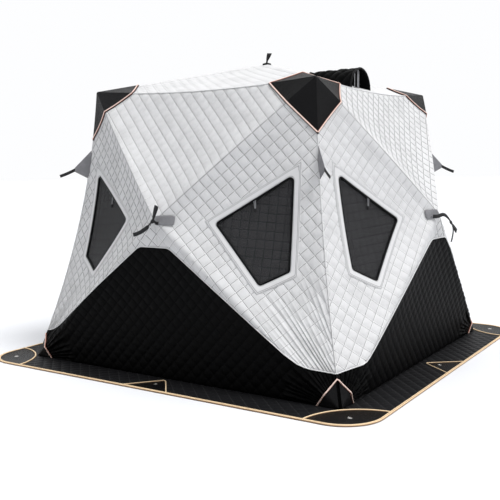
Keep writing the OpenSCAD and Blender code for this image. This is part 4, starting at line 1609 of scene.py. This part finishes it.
def hood_prop(across, width, distance):
    """A webbing prop that stands in the mouth from the roof to the hood's top."""
    top = roof_slope(distance) + HOOD_H * distance / HOOD_END * np.sqrt(1 - (across / HOOD_W) ** 2)
    height = np.linspace(roof_slope(distance) - PROP_SUNK, top - PROP_BELOW, 12)
    path = np.stack([0 * height + across, 0 * height - distance, height], axis=1)
    return swept(path, np.array([0, -1.0, 0]), ribbon(width, PROP_T))


whole_hood = (0, HOOD.turns[-1])
hood_cloth = quilted(HOOD.place, all_of(HOOD.inside_rim, HOOD.wedge(*whole_hood)),
                     HOOD.turns[-1] / 2 + np.pi / 4, HOOD.rim_places(*whole_hood),
                     lifts=HOOD_LIFTS, ripple=hood_sag)
add_sheet("vent_hood_cloth", hood_cloth.turned(1), BLACK_QUILT, ["vent_hood"])
hood_rim = round_cord(mouth(np.linspace(0.01, np.pi - 0.01, 60)), np.array([0, -1.0, 0]),
                      HOOD_RIM_R)
add_piece("vent_hood_binding", hood_rim.turned(1), BLACK_CLOTH)
props = hood_prop(*PROPS[0]) + hood_prop(*PROPS[1])
add_piece("vent_hood_props", props.turned(1), GREY_CLOTH)

# %% [markdown]
# Half way up each corner seam a folded fin of grey cloth carries the webbing that a guy
# rope would be tied to in wind. The roof hub has a loop to pull it down by when the hut is
# packed. Both are bands carried along a short path.

# %% Tabs
FIN_TOP = 1.455
FIN_LOW = 1.265
FIN_TIP = 1.396
FIN_TIP_Z = 1.322
FIN_BLUNT = 0.010
FIN_INSET = 0.004
FIN_THIN = 0.0016
FIN_FULL = 0.0035
FIN_FOLD = 0.0014
FIN_CLOTH = (0.19, 0.15)
FIN_SEAM = (0.0075, 0.0034)
GUY_END = 1.500
GUY_END_Z = 1.278
GUY_SLACK = 0.010
GUY_WEBBING = (0.021, 0.003)
CORNER_ACROSS = np.array([1.0, 1, 0]) / np.sqrt(2)
LOOP_LEAN = np.radians(35)
ROOF_LOOP_GAP = 0.010
ROOF_LOOP_W = (0.010, 0.034)
LOOP_FOOT = 0.030


def out_along(distance, height):
    """Places on the upright plane through a corner and the hut's middle, a distance from
    the middle."""
    d = np.asarray(distance, float)
    return np.stack(np.broadcast_arrays(d / np.sqrt(2), -d / np.sqrt(2), height), axis=-1)


def guy_fin():
    """Two layers from the seam to the tip, fullest in the middle, with shallow folds that
    run towards the tip."""
    s, t = np.meshgrid(np.linspace(0, 1, 15), np.linspace(0, 1, 13), indexing="ij")
    seam = corner_seam(mix(FIN_LOW, FIN_TOP, s) / EAVE_H)
    tip = out_along(FIN_TIP, FIN_TIP_Z + mix(-FIN_BLUNT, FIN_BLUNT, s))
    inset = FIN_INSET * np.array([1, -1, 0]) * (1 - t)[..., None]
    base = mix(seam, tip, t[..., None]) - inset
    full = np.sin(np.pi * s) ** 0.7 * (1 - t) ** 0.5
    bend = (FIN_FOLD * np.sin(9 * s + 2 * t) * (1 - t))[..., None] * CORNER_ACROSS
    half = (FIN_THIN + FIN_FULL * full)[..., None] * CORNER_ACROSS
    return grid_sheet(base + bend - half, base + bend + half, s * FIN_CLOTH[0],
                      t * FIN_CLOTH[1], -1)


def fin_seam():
    """The stitched edge along the fin's two free sides."""
    edges = []
    for start, blunt in ((FIN_TOP, FIN_BLUNT), (FIN_LOW, -FIN_BLUNT)):
        path = mix(corner_seam(start / EAVE_H), out_along(FIN_TIP, FIN_TIP_Z + blunt),
                   np.linspace(0, 1, 12)[:, None])
        edges.append(swept(path, CORNER_ACROSS, ribbon(*FIN_SEAM)))
    return edges[0] + edges[1]


def guy_webbing():
    """Webbing from inside the fin's tip, a little slack."""
    t = np.linspace(-0.25, 1, 14)
    height = mix(FIN_TIP_Z, GUY_END_Z, t) - GUY_SLACK * t * (1 - t)
    return swept(out_along(mix(FIN_TIP, GUY_END, t), height), CORNER_ACROSS,
                 ribbon(*GUY_WEBBING))


def roof_loop():
    """A loop of webbing on the roof hub, leaning over a short stem."""
    level = np.array([np.cos(LOOP_LEAN), np.sin(LOOP_LEAN), 0])
    root, along = PEAK + 0.002 * level + 0.022 * UP, 0.018 * level + 0.052 * UP
    band = teardrop(root, along, level, ROOF_LOOP_GAP * np.cross(level, UP), 0.7, ROOF_LOOP_W, 31)
    stem_path = PEAK + np.array([[0, 0, 0.0], [0.001, 0, 0.012], [0.003, 0.002, 0.028]])
    return band + swept(stem_path, level, ribbon(0.006, 0.012))


def roof_foot():
    """The stitched square under the loop, domed over the hub."""
    s, t = np.meshgrid(np.linspace(-1, 1, 15), np.linspace(-1, 1, 15), indexing="ij")
    dome = 0.006 - 0.012 * (abs(s) ** 2.5 + abs(t) ** 2.5) / 2
    c, n = np.cos(LOOP_LEAN), np.sin(LOOP_LEAN)
    x, y = LOOP_FOOT * (s * c - t * n), LOOP_FOOT * (s * n + t * c)
    return grid_sheet(PEAK + np.stack([x, y, dome], axis=-1),
                      PEAK + np.stack([x, y, dome - 0.008], axis=-1), x, y)


add_piece("guy_fins", guy_fin().on_all_walls(), GREY_CLOTH, ["guy_tabs"], sharp=60)
add_piece("guy_fin_seams", fin_seam().on_all_walls(), GREY_CLOTH)
add_piece("guy_webbing", guy_webbing().on_all_walls(), BLACK_WEBBING)
add_piece("roof_loop", roof_loop(), BLACK_WEBBING, ["roof_pull_tab"])
add_piece("roof_loop_foot", roof_foot(), BLACK_CLOTH)

# %% [markdown]
# The poles, hubs and pole pockets keep the frame's own shapes, because they are right, and
# only get a better finish.

# %% Poles
for name, paint, slot_name in [*((f"{wall}_frame", BLACK_POLE, "pole") for wall in WALLS),
                               ("roof_frame", BLACK_POLE, "pole"),
                               ("corner_pockets", POCKET_CLOTH, "pocket_fabric")]:
    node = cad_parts[name]
    node.data.materials.clear()
    node.data.materials.append(paint)
print("pole finishes set")

# %% [markdown]
# The floor is plain and pale, a little below the skirt so that its shadow stays soft. A high
# sun stands to the right, and the sky lights the hut mostly from overhead, so that each face
# has its own tone. The camera sees the sky as plain white, through a light path, and so do
# gloss and film, while the hut is lit by the dimmer gradient.

# %% Floor and light
FLOOR_R = 60
FLOOR_SIDES = 96
FLOOR_Z = -0.002
SUN_TOWARDS = (0.56, 0.02, 0.828)
SUN_POWER = 2.0
SUN_WIDTH = 0.35
SKY_HORIZON = 0.03
SKY_ZENITH = 2.7
SKY_SEEN = 1.0


def floor():
    """A pale disc of ground, well out of view at its edge."""
    a = np.linspace(0, 2 * np.pi, FLOOR_SIDES, endpoint=False)
    points = np.stack([FLOOR_R * np.cos(a), FLOOR_R * np.sin(a), 0 * a + FLOOR_Z], axis=1)
    mesh = bpy.data.meshes.new("floor")
    mesh.from_pydata(points, [], [list(range(FLOOR_SIDES))])
    paint = Paint("pale_ground", {"Roughness": 0.9})
    drift = paint.noise(0.8, 3.0)
    colour = paint.colours(rgb(0.80, 0.81, 0.83), rgb(0.77, 0.78, 0.81), drift)
    mesh.materials.append(paint.feed({"Base Color": colour}))
    add_object("floor", mesh)


def sun(towards, energy, angle):
    """A sun whose light comes from a direction, with soft-edged shadows."""
    data = bpy.data.lights.new("sun", "SUN")
    data.energy, data.angle = energy, angle
    back = unit(np.array(towards, float))
    side = unit(np.cross(UP, back))
    set_axes(add_object("sun", data), side, np.cross(back, side), back, (0, 0, 5))


def sky(horizon, zenith, white):
    """A world that lights with horizon + zenith * z^4, z being the upward part of a
    direction, and that shows plain white to the camera, in gloss and through the film."""
    world = bpy.context.scene.world = bpy.data.worlds.new("sky")
    nodes = Nodes(world, "Background")
    direction = nodes.node("ShaderNodeTexCoord")
    upward = nodes.node("ShaderNodeSeparateXYZ", {}, {0: direction}, output=2)
    glow = upward.larger(0.0).maths("POWER", 4.0) * zenith + horizon
    camera, gloss, film = [nodes.node("ShaderNodeLightPath", output=f"Is {kind} Ray")
                           for kind in ("Camera", "Glossy", "Transmission")]
    nodes.shader.inputs["Color"].default_value = rgb(0.985, 0.99, 1.0)
    nodes.feed({"Strength": camera.larger(gloss).larger(film).ramp(0.0, 1.0, glow, white)})


floor()
sun(SUN_TOWARDS, SUN_POWER, SUN_WIDTH)
sky(SKY_HORIZON, SKY_ZENITH, SKY_SEEN)
bpy.context.scene.view_settings.view_transform = "Standard"
print("light ready")
